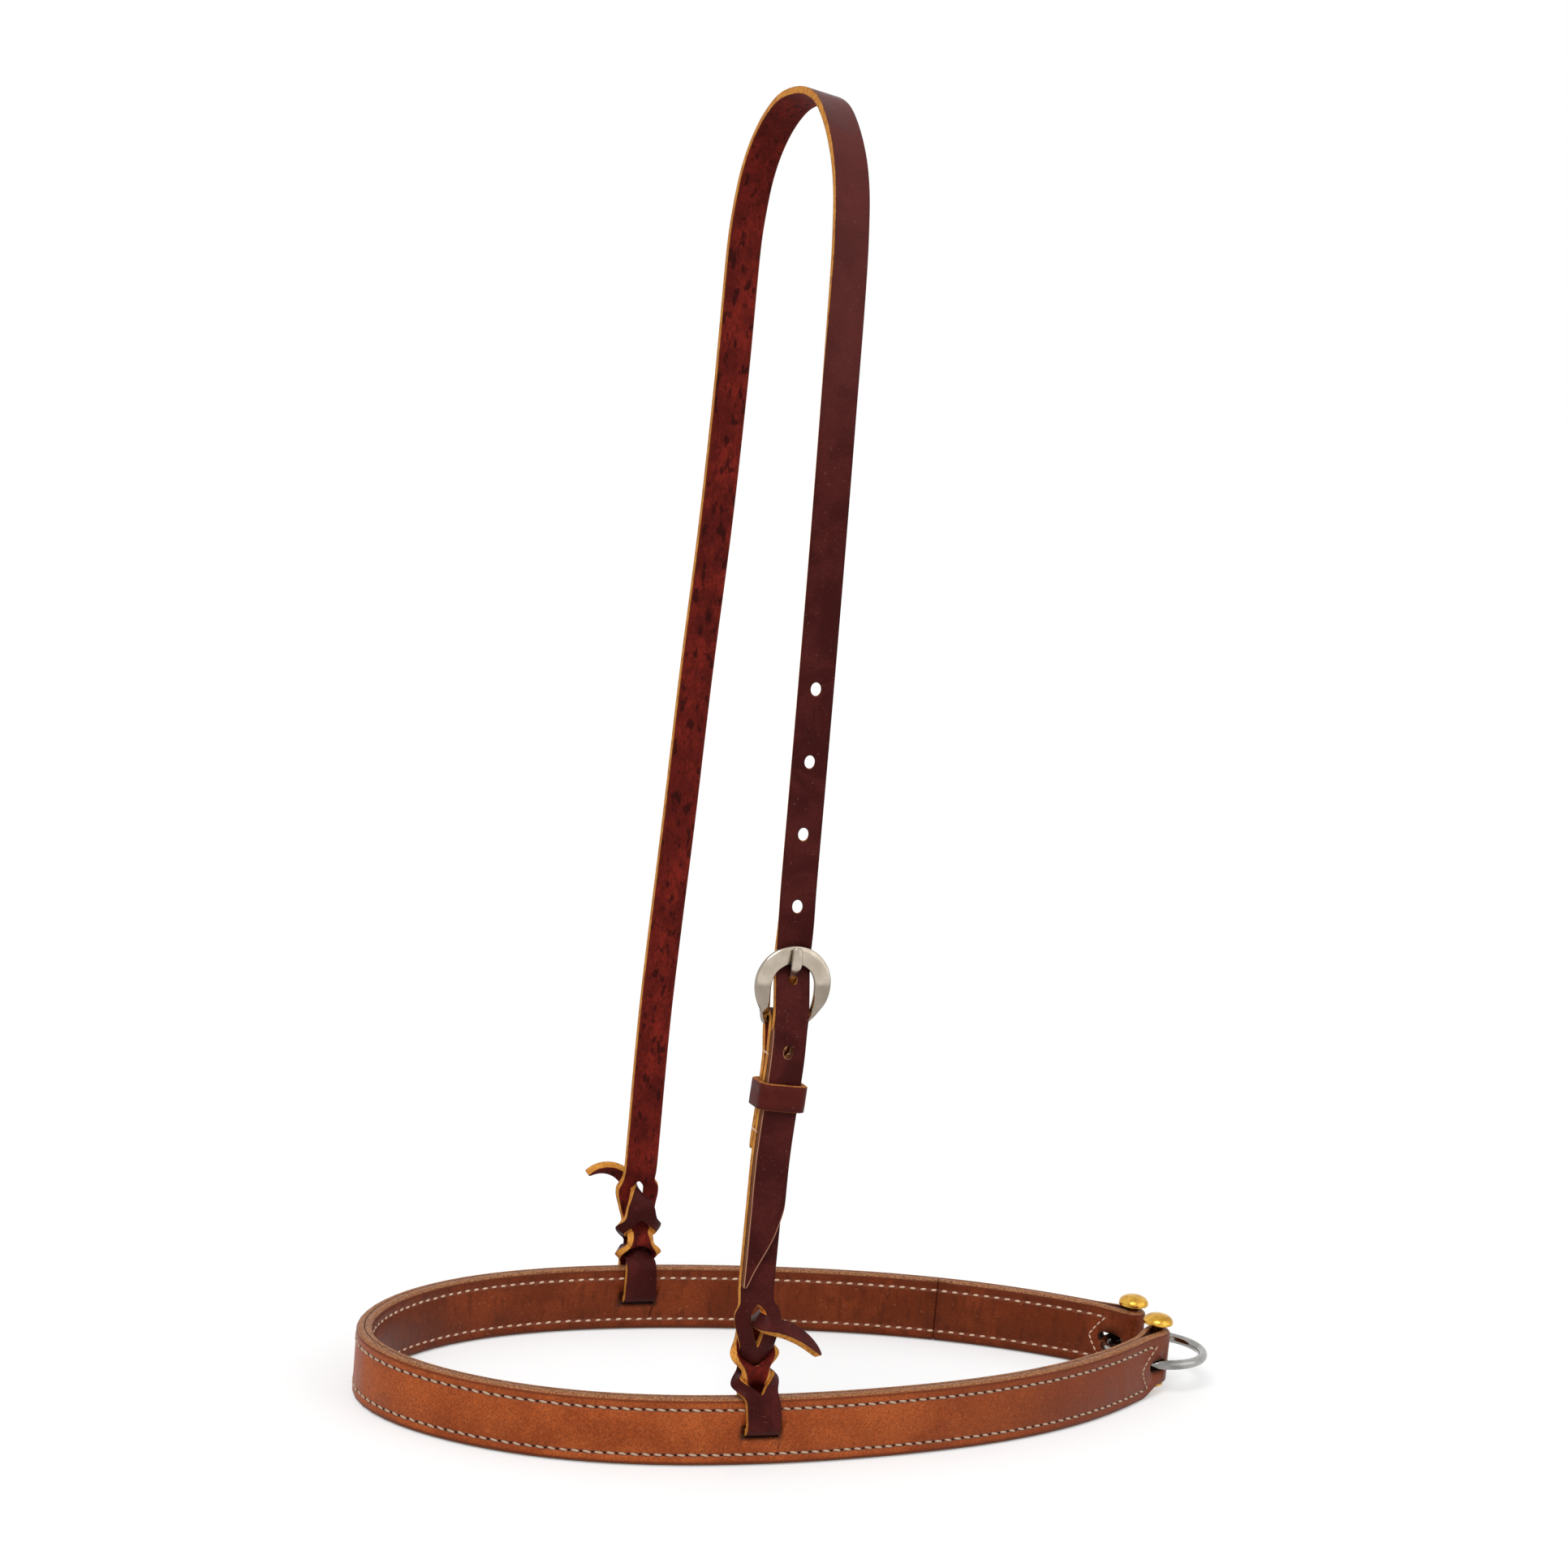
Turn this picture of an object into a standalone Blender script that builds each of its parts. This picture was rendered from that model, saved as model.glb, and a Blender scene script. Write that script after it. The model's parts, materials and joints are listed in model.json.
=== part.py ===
# Leather tie-down noseband with a hanger strap, a closed buckle and a ring held by two pins.
# Metres, +Z up. The origin is the bottom middle of the whole part's box, on the band's lower edge.
# +X runs from the nose towards the pins and the ring, -Y is the near (buckle) side.
# Driving dimensions below are in millimetres; MM turns them into metres.

import math

import bmesh
import bpy
from mathutils import Vector

MM = 0.001
CLEAR = 0.3                 # gap kept between touching pieces

# Noseband
BAND_HEIGHT = 25.4
PLY_THICK = 2.9
PLY_GAP = 0.3
EDGE_ROUND = 1.7            # burnished outer corners of each ply
FOLD_BACK = 80.0            # how far each end returns along the inside
EYE_LENGTH = 18.0           # stretch over which the plies part round a pin
CORNER_LENGTH = 15.0        # stretch over which the lower corner is cut up
CORNER_RISE = 4.2
NOSE_REACH = 127.6          # slot to nose, along X, on the band's middle line
NOSE_FLAT = 25.6            # half the stretch that runs straight across the nose
CHEEK_FRONT = (80.9, 82.2)  # guide point ahead of the slots: forward, out
CHEEK_BACK = (57.7, 80.4)   # guide point behind the slots: back, out
JAW = (144.8, 52.5)         # guide point where the sides draw together
PIN_BACK = 186.3            # slot to pins, along X
PIN_SPREAD = 24.0           # pin to pin

# Slots in the noseband
SLOT_LENGTH = 16.0
SLOT_HEIGHT = 5.0
RING_SLOT_START = 1.6       # from the pin axis, along the band
RING_SLOT_END = 12.4
RING_SLOT_HEIGHT = 5.2

# Pins and burrs
SHANK_RADIUS = 2.0
DOME_RADIUS = 6.0
DOME_HEIGHT = 4.4
DOME_STANDOFF = 1.8         # neck that shows between the band and the dome
BURR_RADIUS = 4.2
BURR_THICK = 1.0
PEEN_RADIUS = 3.0
PEEN_THICK = 0.9

# Ring
RING_RADIUS = 19.5          # middle of the wire
RING_WIRE = 3.8
RING_AHEAD = 5.0            # ring centre past the pins, along X

# Straps
STRAP_WIDTH = 12.7
STRAP_THICK = 2.8
LAYER_PITCH = STRAP_THICK + CLEAR + 0.15
KNOT_TOP = 66.0
CROWN_HEIGHT = 488.5        # middle of the strap where it crosses over the top
CROWN_BANK = math.radians(11.6)     # the crown tips down towards the pins
BANK_DROP = 48.5            # crown down to where that tip begins
HOLE_WIDTH = 4.0
HOLE_LENGTH = 5.3
HOLE_PITCH = 25.8
HOLES_ABOVE = 4
HOLES_BELOW = 1
TONGUE_HOLE = 15.8          # the hole that the tongue fills, up from the bar
TAIL_REACH = 96.0           # bar down to the tip of the tail
TAIL_POINT = 28.0           # length of the oblique cut

# Buckle
BAR_HEIGHT = 163.0
BAR_OUT = 71.5              # bar axis from the middle plane
BAR_RADIUS = 1.5
FRAME_TOP = 25.0            # bar axis to the middle of the top rim
FRAME_SIDE = 11.3           # middle of the side rims from the centre
RIM_WIDTH = 6.7
RIM_THICK = 2.6
RIM_BACKSET = 4.8           # the rim's plane stands this far out from the bar
HEEL_WIDTH = 3.0
RIM_GAP = 1.0               # strap to the back of the top rim
TONGUE_THICK = 1.8
TONGUE_WIDTH = 3.1
TONGUE_TIP_WIDTH = 4.0
TONGUE_RIDGE = 0.35
TONGUE_PLAY = 2.2           # the filled hole's spare length, square to the tongue
CHAPE_SLOT = 4.8            # opening in the chape's fold for the tongue
CHAPE_SLOT_LENGTH = 11.0
CHAPE_RETURN = 47.6         # bar down to the end of the chape's folded-back layer
FOLD_END = 4.0              # bar down to the end of the fold's round part
FOLD_NARROW = 12.0          # bar down to where its layers have almost closed
FOLD_FLAT = 20.0            # bar down to where they lie together
STRAIGHT_FROM = 34.0        # the near strap runs straight from this far above its knot
STRAIGHT_TO = 13.0          # to this far below the bar

# Keeper
KEEPER_DROP = 26.4          # bar down to the keeper's middle
KEEPER_LENGTH = 9.6
KEEPER_THICK = 2.3
KEEPER_PLAY = 0.5

# Bleed knots, heights from the band's lower edge
CUP_WIDTH = 4.3             # half width of a strand squeezed into a slit
CUP_BEND = 1.1              # half angle of its rolled cross-section
LEG_OPEN = 5.9              # a leg's inner edge from the knot's middle
LEG_TURN = math.radians(60)
LOWER_CROSSING = 32.2
UPPER_CROSSING = 40.6
END_SLIT = (44.8, 60.8)     # slit that the pointed end comes out of
END_SLIT_OPEN = 3.6
END_SLIT_TURN = math.radians(14)
END_EXIT = 55.2             # height at which the end crosses that slit
END_WIDTH = 3.0             # half its width there
END_OUT = 7.6               # how far out of the strap behind the slit it starts to bend
END_EDGE_TILT = math.radians(45)    # how far its upper edge leans back to the strap
END_BEND = 4.8              # radius of that bend
NEAR_END = (20.5, math.radians(-12), math.radians(-55))     # length, heading at the root and at the tip
FAR_END = (18.0, math.radians(52), math.radians(-38))

# The crown's arc: drop from its top, distance from the middle plane, lean along X
CROWN_ARC = ((0.0, 0.0, 6.0), (3.1, 21.4, 5.0), (11.8, 36.8, 4.2), (22.8, 47.9, 3.7),
             (33.9, 54.2, 3.3), (55.5, 59.3, 2.8), (106.5, 61.3, 2.8))
# The hanger's sides below it: height, distance from the middle plane, lean along X
SIDE_LINE = ((325.0, 64.4, 2.2), (267.0, 68.9, 0.8))
ABOVE_RIM = (21.5, 72.0, -0.3)      # the same just above the buckle, its height from the top rim
# Lean along X of each side below that: height, distance
NEAR_LEAN = ((20.0, 0.2), (34.0, -3.6), (61.0, -5.7), (115.0, -4.4), (150.0, -1.5), (192.0, -0.5))
FAR_LEAN = ((20.0, 0.2), (61.0, -2.1), (126.0, -2.6))
FAR_CHEEK = (75.5, 130.0)   # far side's guide point below that line: distance from the middle plane, height

BAND_THICK = 2 * PLY_THICK + PLY_GAP

# Heights that go with the buckle
TONGUE_HOLE_HEIGHT = BAR_HEIGHT + TONGUE_HOLE
KEEPER_HEIGHT = BAR_HEIGHT - KEEPER_DROP
CHAPE_END_HEIGHT = BAR_HEIGHT - CHAPE_RETURN
TAIL_TIP_HEIGHT = BAR_HEIGHT - TAIL_REACH
RIM_TOP_HEIGHT = BAR_HEIGHT + FRAME_TOP

# Hanger above the buckle, crown first: height, distance from the middle plane, lean along X
HANGER_LINE = (tuple((CROWN_HEIGHT - drop, out, along) for drop, out, along in CROWN_ARC) + SIDE_LINE
               + ((RIM_TOP_HEIGHT + ABOVE_RIM[0], *ABOVE_RIM[1:]),))

# Shapes are laid out from a point midway between the strap slots, at the band's lower edge. The part's
# origin is the bottom middle of its box, which lies this far behind that point.
NOSE_FACE = -NOSE_REACH - BAND_THICK / 2
RING_FACE = PIN_BACK + RING_AHEAD + RING_RADIUS + RING_WIRE / 2
BOX_MIDDLE = Vector(((NOSE_FACE + RING_FACE) / 2, 0.0, 0.0))


def clear_scene():
    for old in list(bpy.data.objects):
        bpy.data.objects.remove(old, do_unlink=True)


def material(name, color, roughness, metallic=0.0):
    mat = bpy.data.materials.new(name)
    mat.use_nodes = True
    shader = mat.node_tree.nodes["Principled BSDF"]
    shader.inputs["Base Color"].default_value = (*color, 1.0)
    shader.inputs["Roughness"].default_value = roughness
    shader.inputs["Metallic"].default_value = metallic
    return mat


def finish(name, bm, mat, origin=(0.0, 0.0, 0.0), smooth=True, parent=None):
    """Turn a bmesh in millimetres into a named object whose origin is given in millimetres."""
    bmesh.ops.recalc_face_normals(bm, faces=bm.faces)
    origin = Vector(origin)
    bmesh.ops.translate(bm, verts=bm.verts, vec=-origin)
    bmesh.ops.scale(bm, verts=bm.verts, vec=(MM, MM, MM))
    mesh = bpy.data.meshes.new(name)
    bm.to_mesh(mesh)
    bm.free()
    obj = bpy.data.objects.new(name, mesh)
    bpy.context.scene.collection.objects.link(obj)
    obj.location = (origin - BOX_MIDDLE) * MM
    if parent:
        obj.parent = parent
        obj.location -= parent.location
    mesh.materials.append(mat)
    if smooth:
        mesh.shade_smooth()
        mesh.set_sharp_from_angle(angle=math.radians(35))
    return obj


def cut(obj, bm_cutter, name):
    """Subtract a closed bmesh, given in millimetres of the part's frame."""
    cutter = finish(name, bm_cutter, obj.data.materials[0], smooth=False)
    cutter.hide_render = True
    cutter.display_type = 'WIRE'
    mod = obj.modifiers.new(name, 'BOOLEAN')
    mod.operation = 'DIFFERENCE'
    mod.solver = 'EXACT'
    mod.object = cutter


def ease(x):
    x = max(0.0, min(1.0, x))
    return x * x * (3.0 - 2.0 * x)


def between(table, height, column=1):
    """Value in a table of rows that start with a height, in either order, held level past its ends."""
    rows = sorted(table)
    if height <= rows[0][0]:
        return rows[0][column]
    for low, high in zip(rows, rows[1:]):
        if height <= high[0]:
            return low[column] + (high[column] - low[column]) * (height - low[0]) / (high[0] - low[0])
    return rows[-1][column]


def lean(side, height):
    """How far the hanger stands along X from its slots, at a height on one side (-1 near, 1 far)."""
    low = NEAR_LEAN if side < 0 else FAR_LEAN
    return between(low + tuple((h, x) for h, _, x in HANGER_LINE), height)


def prism(outline, origin, along, up, depth):
    """Closed prism: an outline in the (along, up) plane, pushed both ways along their normal."""
    along = Vector(along).normalized()
    up = Vector(up).normalized()
    out = along.cross(up)
    bm = bmesh.new()
    loops = []
    for side in (-depth / 2, depth / 2):
        loops.append([bm.verts.new(Vector(origin) + along * a + up * b + out * side) for a, b in outline])
    bm.faces.new(loops[0])
    bm.faces.new(loops[1])
    count = len(outline)
    for i in range(count):
        j = (i + 1) % count
        bm.faces.new((loops[0][i], loops[0][j], loops[1][j], loops[1][i]))
    return bm


def stadium(length, height, steps=5):
    """Slot outline with round ends, centred, its length along the first axis."""
    radius = min(length, height) / 2
    points = []
    for sign in (1, -1):
        for i in range(steps + 1):
            angle = -math.pi / 2 + math.pi * i / steps
            if length >= height:
                points.append((sign * (length / 2 - radius + radius * math.cos(angle)),
                               sign * radius * math.sin(angle)))
            else:
                points.append((-sign * radius * math.sin(angle),
                               sign * (height / 2 - radius + radius * math.cos(angle))))
    return points


def rounded_box(width, depth, radius, steps=4):
    points = []
    for sx, sy, start in ((1, 1, 0), (-1, 1, 90), (-1, -1, 180), (1, -1, 270)):
        for i in range(steps + 1):
            angle = math.radians(start + 90 * i / steps)
            points.append((sx * (width / 2 - radius) + radius * math.cos(angle),
                           sy * (depth / 2 - radius) + radius * math.sin(angle)))
    return points


# The band's middle line

def spline_basis(i, degree, u, knots):
    if degree == 0:
        last = knots[i + 1] == knots[-1]
        return 1.0 if knots[i] <= u < knots[i + 1] or (last and u == knots[-1] and knots[i] < u) else 0.0
    total = 0.0
    if knots[i + degree] > knots[i]:
        total += (u - knots[i]) / (knots[i + degree] - knots[i]) * spline_basis(i, degree - 1, u, knots)
    if knots[i + degree + 1] > knots[i + 1]:
        total += ((knots[i + degree + 1] - u) / (knots[i + degree + 1] - knots[i + 1])
                  * spline_basis(i + 1, degree - 1, u, knots))
    return total


def near_side_line():
    """Points of the near half of the middle line, from the nose to the near pin."""
    guides = [(-NOSE_REACH, 0.0), (-NOSE_REACH, -NOSE_FLAT), (-CHEEK_FRONT[0], -CHEEK_FRONT[1]),
              (CHEEK_BACK[0], -CHEEK_BACK[1]), (JAW[0], -JAW[1]), (PIN_BACK, -PIN_SPREAD / 2)]
    knots = [0, 0, 0, 0, 1 / 3, 2 / 3, 1, 1, 1, 1]
    fine = []
    for k in range(401):
        u = k / 400
        weights = [spline_basis(i, 3, u, knots) for i in range(len(guides))]
        fine.append(Vector((sum(w * g[0] for w, g in zip(weights, guides)),
                            sum(w * g[1] for w, g in zip(weights, guides)))))
    lengths = [0.0]
    for a, b in zip(fine, fine[1:]):
        lengths.append(lengths[-1] + (b - a).length)
    return fine, lengths


LINE, LINE_LENGTHS = near_side_line()
HALF_LENGTH = LINE_LENGTHS[-1]


def band_point(from_pin, side):
    """Point and outward normal of the middle line, a given length from the pin (side -1 near, 1 far)."""
    target = HALF_LENGTH - from_pin
    k = next((i for i in range(1, len(LINE)) if LINE_LENGTHS[i] >= target), len(LINE) - 1)
    span = LINE_LENGTHS[k] - LINE_LENGTHS[k - 1]
    mix = min(1.0, max(0.0, (target - LINE_LENGTHS[k - 1]) / span))
    point = LINE[k - 1].lerp(LINE[k], mix)
    ahead = LINE[min(k + 1, len(LINE) - 1)] - LINE[max(k - 2, 0)]
    ahead.normalize()
    outward = Vector((ahead.y, -ahead.x))
    if side > 0:
        point = Vector((point.x, -point.y))
        outward = Vector((outward.x, -outward.y))
        ahead = Vector((ahead.x, -ahead.y))
    return point, outward, ahead


def half_gap(from_pin):
    """Half the space between the plies: thin along the band, round the shank at the pin."""
    eye = SHANK_RADIUS + CLEAR
    return PLY_GAP / 2 + (eye - PLY_GAP / 2) * ease(1.0 - from_pin / EYE_LENGTH)


def corner_rise(from_pin):
    flat = BURR_RADIUS + CLEAR
    return CORNER_RISE * ease((CORNER_LENGTH - from_pin) / (CORNER_LENGTH - flat))


def slot_distance():
    """Length from the pin to the strap slot, which is where the middle line crosses X = 0."""
    k = next(i for i in range(1, len(LINE)) if LINE[i].x >= 0)
    return HALF_LENGTH - LINE_LENGTHS[k]


SLOT_FROM_PIN = slot_distance()
SLOT_OUT = -band_point(SLOT_FROM_PIN, -1)[0].y      # middle plane to the band's middle at the slot
OUTER_FACE = SLOT_OUT + BAND_THICK / 2


def spread(start, stop, step):
    count = max(2, math.ceil(abs(stop - start) / step))
    return [start + (stop - start) * i / count for i in range(count + 1)]


def ply_section():
    """Profile of a ply as (across, height): across is positive towards its rounded face."""
    half = PLY_THICK / 2
    points = [(-half, 0.0), (-half, BAND_HEIGHT)]
    for i in range(4):
        angle = math.pi / 2 * (1 - i / 3)
        points.append((half - EDGE_ROUND + EDGE_ROUND * math.cos(angle),
                       BAND_HEIGHT - EDGE_ROUND + EDGE_ROUND * math.sin(angle)))
    for i in range(4):
        angle = -math.pi / 2 * i / 3
        points.append((half - EDGE_ROUND + EDGE_ROUND * math.cos(angle),
                       EDGE_ROUND + EDGE_ROUND * math.sin(angle)))
    return points


def sweep_ply(stations):
    """Sweep the ply profile along (point, rounded side, lower edge height) stations and cap the ends."""
    bm = bmesh.new()
    rows = []
    for point, face, rise in stations:
        row = []
        for across, height in ply_section():
            lift = rise * max(0.0, 1.0 - height / (BAND_HEIGHT / 2))
            place = point + face * across
            row.append(bm.verts.new((place.x, place.y, height + lift)))
        rows.append(row)
    count = len(rows[0])
    for a, b in zip(rows, rows[1:]):
        for i in range(count):
            j = (i + 1) % count
            bm.faces.new((a[i], a[j], b[j], b[i]))
    bm.faces.new(rows[0])
    bm.faces.new(rows[-1])
    return bm


def side_stations(distances, side, inner):
    rows = []
    for d in distances:
        point, outward, _ = band_point(d, side)
        face = -outward if inner else outward
        rows.append((point + face * (half_gap(d) + PLY_THICK / 2), face, corner_rise(d)))
    return rows


def fold_stations(side, steps=9):
    """Stations round a pin, from the outer face to the inner one."""
    pin, outward, ahead = band_point(0.0, side)
    radius = SHANK_RADIUS + CLEAR + PLY_THICK / 2
    rows = []
    for i in range(1, steps):
        angle = math.pi * i / steps
        face = outward * math.cos(angle) + ahead * math.sin(angle)
        rows.append((pin + face * radius, face, CORNER_RISE))
    return rows


def end_distances():
    return spread(EYE_LENGTH, 0.0, 2.2)


def noseband_outer_ply(mat):
    inner = spread(FOLD_BACK, EYE_LENGTH, 7.5)[:-1] + end_distances()
    outer = spread(HALF_LENGTH, EYE_LENGTH, 7.5)[:-1] + end_distances()
    near = side_stations(inner, -1, True) + fold_stations(-1)[::-1]
    near += side_stations(outer[::-1], -1, False)
    far = side_stations(outer[1:], 1, False) + fold_stations(1)
    far += side_stations(inner[::-1], 1, True)
    return finish("noseband_outer_ply", sweep_ply(near + far), mat)


def noseband_lining(mat):
    reach = spread(HALF_LENGTH, FOLD_BACK + CLEAR, 7.5)
    near = side_stations(reach[::-1], -1, True)
    far = side_stations(reach[1:], 1, True)
    return finish("noseband_lining", sweep_ply(near + far), mat)


def cut_band_slots(outer_ply, lining):
    for side, word in ((-1, "near"), (1, "far")):
        place = (0.0, side * SLOT_OUT, BAND_HEIGHT / 2)
        outline = stadium(SLOT_LENGTH, SLOT_HEIGHT)
        for obj in (outer_ply, lining):
            cutter = prism(outline, place, (1, 0, 0), (0, 0, 1), 3 * BAND_THICK)
            cut(obj, cutter, word + "_strap_slot_" + obj.name)
        middle = (RING_SLOT_START + RING_SLOT_END) / 2
        point, outward, ahead = band_point(middle, side)
        outline = stadium(RING_SLOT_END - RING_SLOT_START, RING_SLOT_HEIGHT)
        cutter = prism(outline, (point.x, point.y, BAND_HEIGHT / 2), (ahead.x, ahead.y, 0), (0, 0, 1),
                       4 * BAND_THICK)
        cut(outer_ply, cutter, word + "_ring_slot")


# Turned metal

def turned(profile, centre, steps=20):
    """Spin a (radius, height) profile that starts and ends on the axis."""
    bm = bmesh.new()
    verts = [bm.verts.new((centre[0] + r, centre[1], z)) for r, z in profile]
    edges = [bm.edges.new(pair) for pair in zip(verts, verts[1:])]
    bmesh.ops.spin(bm, geom=verts + edges, cent=(centre[0], centre[1], 0), axis=(0, 0, 1),
                   angle=2 * math.pi, steps=steps, use_merge=True)
    bmesh.ops.remove_doubles(bm, verts=bm.verts, dist=0.001)
    return bm


def rivet(word, side, mat):
    pin, _, _ = band_point(0.0, side)
    dome_base = BAND_HEIGHT + DOME_STANDOFF
    burr_top = CORNER_RISE - CLEAR
    peen_top = burr_top - BURR_THICK - CLEAR
    profile = [(0.0, peen_top - PEEN_THICK), (PEEN_RADIUS * 0.7, peen_top - PEEN_THICK),
               (PEEN_RADIUS, peen_top - PEEN_THICK / 2), (PEEN_RADIUS * 0.9, peen_top),
               (SHANK_RADIUS, peen_top), (SHANK_RADIUS, dome_base), (DOME_RADIUS - 0.6, dome_base)]
    for i in range(7):
        angle = math.pi / 2 * i / 6
        profile.append((DOME_RADIUS * math.cos(angle),
                        dome_base + 0.7 + (DOME_HEIGHT - 0.7) * math.sin(angle)))
    profile[-1] = (0.0, dome_base + DOME_HEIGHT)
    return finish(word + "_rivet", turned(profile, pin), mat, origin=(pin.x, pin.y, BAND_HEIGHT / 2))


def burr(word, side, mat, parent):
    pin, _, _ = band_point(0.0, side)
    top = CORNER_RISE - CLEAR
    bore = SHANK_RADIUS + CLEAR
    profile = [(bore, top - BURR_THICK), (BURR_RADIUS - 0.2, top - BURR_THICK),
               (BURR_RADIUS, top - BURR_THICK + 0.2), (BURR_RADIUS, top - 0.2), (BURR_RADIUS - 0.2, top),
               (bore, top)]
    profile.append(profile[0])
    return finish(word + "_burr", turned(profile, pin), mat, origin=(pin.x, pin.y, top), parent=parent)


def tie_down_ring(mat):
    centre = Vector((PIN_BACK + RING_AHEAD, 0.0, BAND_HEIGHT / 2))
    profile = []
    for i in range(13):
        angle = 2 * math.pi * i / 12
        profile.append((RING_RADIUS + RING_WIRE / 2 * math.cos(angle),
                        centre.z + RING_WIRE / 2 * math.sin(angle)))
    return finish("tie_down_ring", turned(profile, centre, steps=48), mat, origin=centre)


# Strap ribbons. A station is a cross-section of a strap: its middle, the direction of its width, the
# half width to each side, how far it is rolled (cup), and how far a slit in it stands open (gap)
# with its two legs turned on edge (turn).

def station(point, across=(1, 0, 0), left=STRAP_WIDTH / 2, right=None, cup=0.0, gap=0.0, turn=0.0,
            step=2.4):
    return {"point": Vector(point), "across": Vector(across).normalized(), "left": left,
            "right": left if right is None else right, "cup": cup, "gap": gap, "turn": turn,
            "step": step}


def blend_value(a, b, c, d, t):
    """Catmull-Rom value between b and c."""
    return 0.5 * (2 * b + (c - a) * t + (2 * a - 5 * b + 4 * c - d) * t * t
                  + (3 * b - a - 3 * c + d) * t * t * t)


def smooth_stations(keys):
    """Even stations along a smooth curve through the key ones."""
    rows = []
    for i in range(len(keys) - 1):
        a = keys[max(i - 1, 0)]
        b = keys[i]
        c = keys[i + 1]
        d = keys[min(i + 2, len(keys) - 1)]
        reach = (c["point"] - b["point"]).length
        count = max(1, math.ceil(reach / b["step"]))
        before = a["point"] if i else b["point"] * 2 - c["point"]
        after = d["point"] if i + 2 < len(keys) else c["point"] * 2 - b["point"]
        # Neighbouring keys may lie at unlike distances, so their pull is scaled to this stretch.
        pull = min(1.0, reach / max((b["point"] - before).length, 1e-6))
        before = b["point"] - (b["point"] - before) * pull
        pull = min(1.0, reach / max((after - c["point"]).length, 1e-6))
        after = c["point"] + (after - c["point"]) * pull
        for k in range(count):
            t = k / count
            row = {"point": blend_value(before, b["point"], c["point"], after, t),
                   "across": b["across"].lerp(c["across"], ease(t)).normalized(), "step": b["step"]}
            for word in ("left", "right", "cup", "gap", "turn"):
                row[word] = b[word] + (c[word] - b[word]) * ease(t)
            rows.append(row)
    rows.append(dict(keys[-1]))
    return rows


def section_columns(row):
    """Six (across, out, turned-normal angle) columns: three for each half of the strap."""
    columns = []
    half = (row["left"] + row["right"]) / 2
    middle = (row["right"] - row["left"]) / 2
    for sign in (-1, 1):
        for a in ((1.0, 0.5, 0.0) if sign < 0 else (0.0, 0.5, 1.0)):
            if row["gap"] > 1e-4:
                turn = row["turn"]
                centre = row["gap"] + half / 2 * math.cos(turn) + STRAP_THICK / 2 * math.sin(turn)
                b = (a - 0.5) * half
                columns.append((sign * (centre + b * math.cos(turn)), -b * math.sin(turn), -sign * turn))
            elif row["cup"] > 1e-3:
                radius = half / row["cup"]
                angle = row["cup"] * a
                columns.append((middle + sign * radius * math.sin(angle),
                                -radius * (1 - math.cos(angle)), -sign * angle))
            else:
                columns.append((middle + sign * a * half, 0.0, 0.0))
    return columns


def ribbon(rows, thick=STRAP_THICK):
    """Closed strap solid through its stations; +out is the grain side."""
    bm = bmesh.new()
    tops, bottoms = [], []
    for i, row in enumerate(rows):
        ahead = rows[min(i + 1, len(rows) - 1)]["point"] - rows[max(i - 1, 0)]["point"]
        ahead.normalize()
        across = row["across"] - ahead * row["across"].dot(ahead)
        across.normalize()
        out = ahead.cross(across)
        top, bottom = [], []
        for k, (u, v, angle) in enumerate(section_columns(row)):
            place = row["point"] + across * u + out * v
            normal = across * -math.sin(angle) + out * math.cos(angle)
            if k == 3 and row["gap"] <= 1e-4:
                top.append(top[2])
                bottom.append(bottom[2])
                continue
            top.append(bm.verts.new(place + normal * thick / 2))
            bottom.append(bm.verts.new(place - normal * thick / 2))
        tops.append(top)
        bottoms.append(bottom)
    for i in range(len(rows) - 1):
        for k in (0, 1, 3, 4):
            bm.faces.new((tops[i][k], tops[i][k + 1], tops[i + 1][k + 1], tops[i + 1][k]))
            bm.faces.new((bottoms[i][k], bottoms[i + 1][k], bottoms[i + 1][k + 1], bottoms[i][k + 1]))
        for k in (0, 5):
            bm.faces.new((tops[i][k], tops[i + 1][k], bottoms[i + 1][k], bottoms[i][k]))
        if rows[i]["gap"] > 1e-4 or rows[i + 1]["gap"] > 1e-4:
            for k in (2, 3):
                bm.faces.new((tops[i][k], tops[i + 1][k], bottoms[i + 1][k], bottoms[i][k]))
    for i in (0, len(rows) - 1):
        for k in (0, 1, 3, 4):
            bm.faces.new((tops[i][k], tops[i][k + 1], bottoms[i][k + 1], bottoms[i][k]))
    return bm


# Bleed knot, in its own frame: (along the band, out from the band's outer face, up).
# The near knot is this frame at the near slot; the far one is turned half round.

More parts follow.
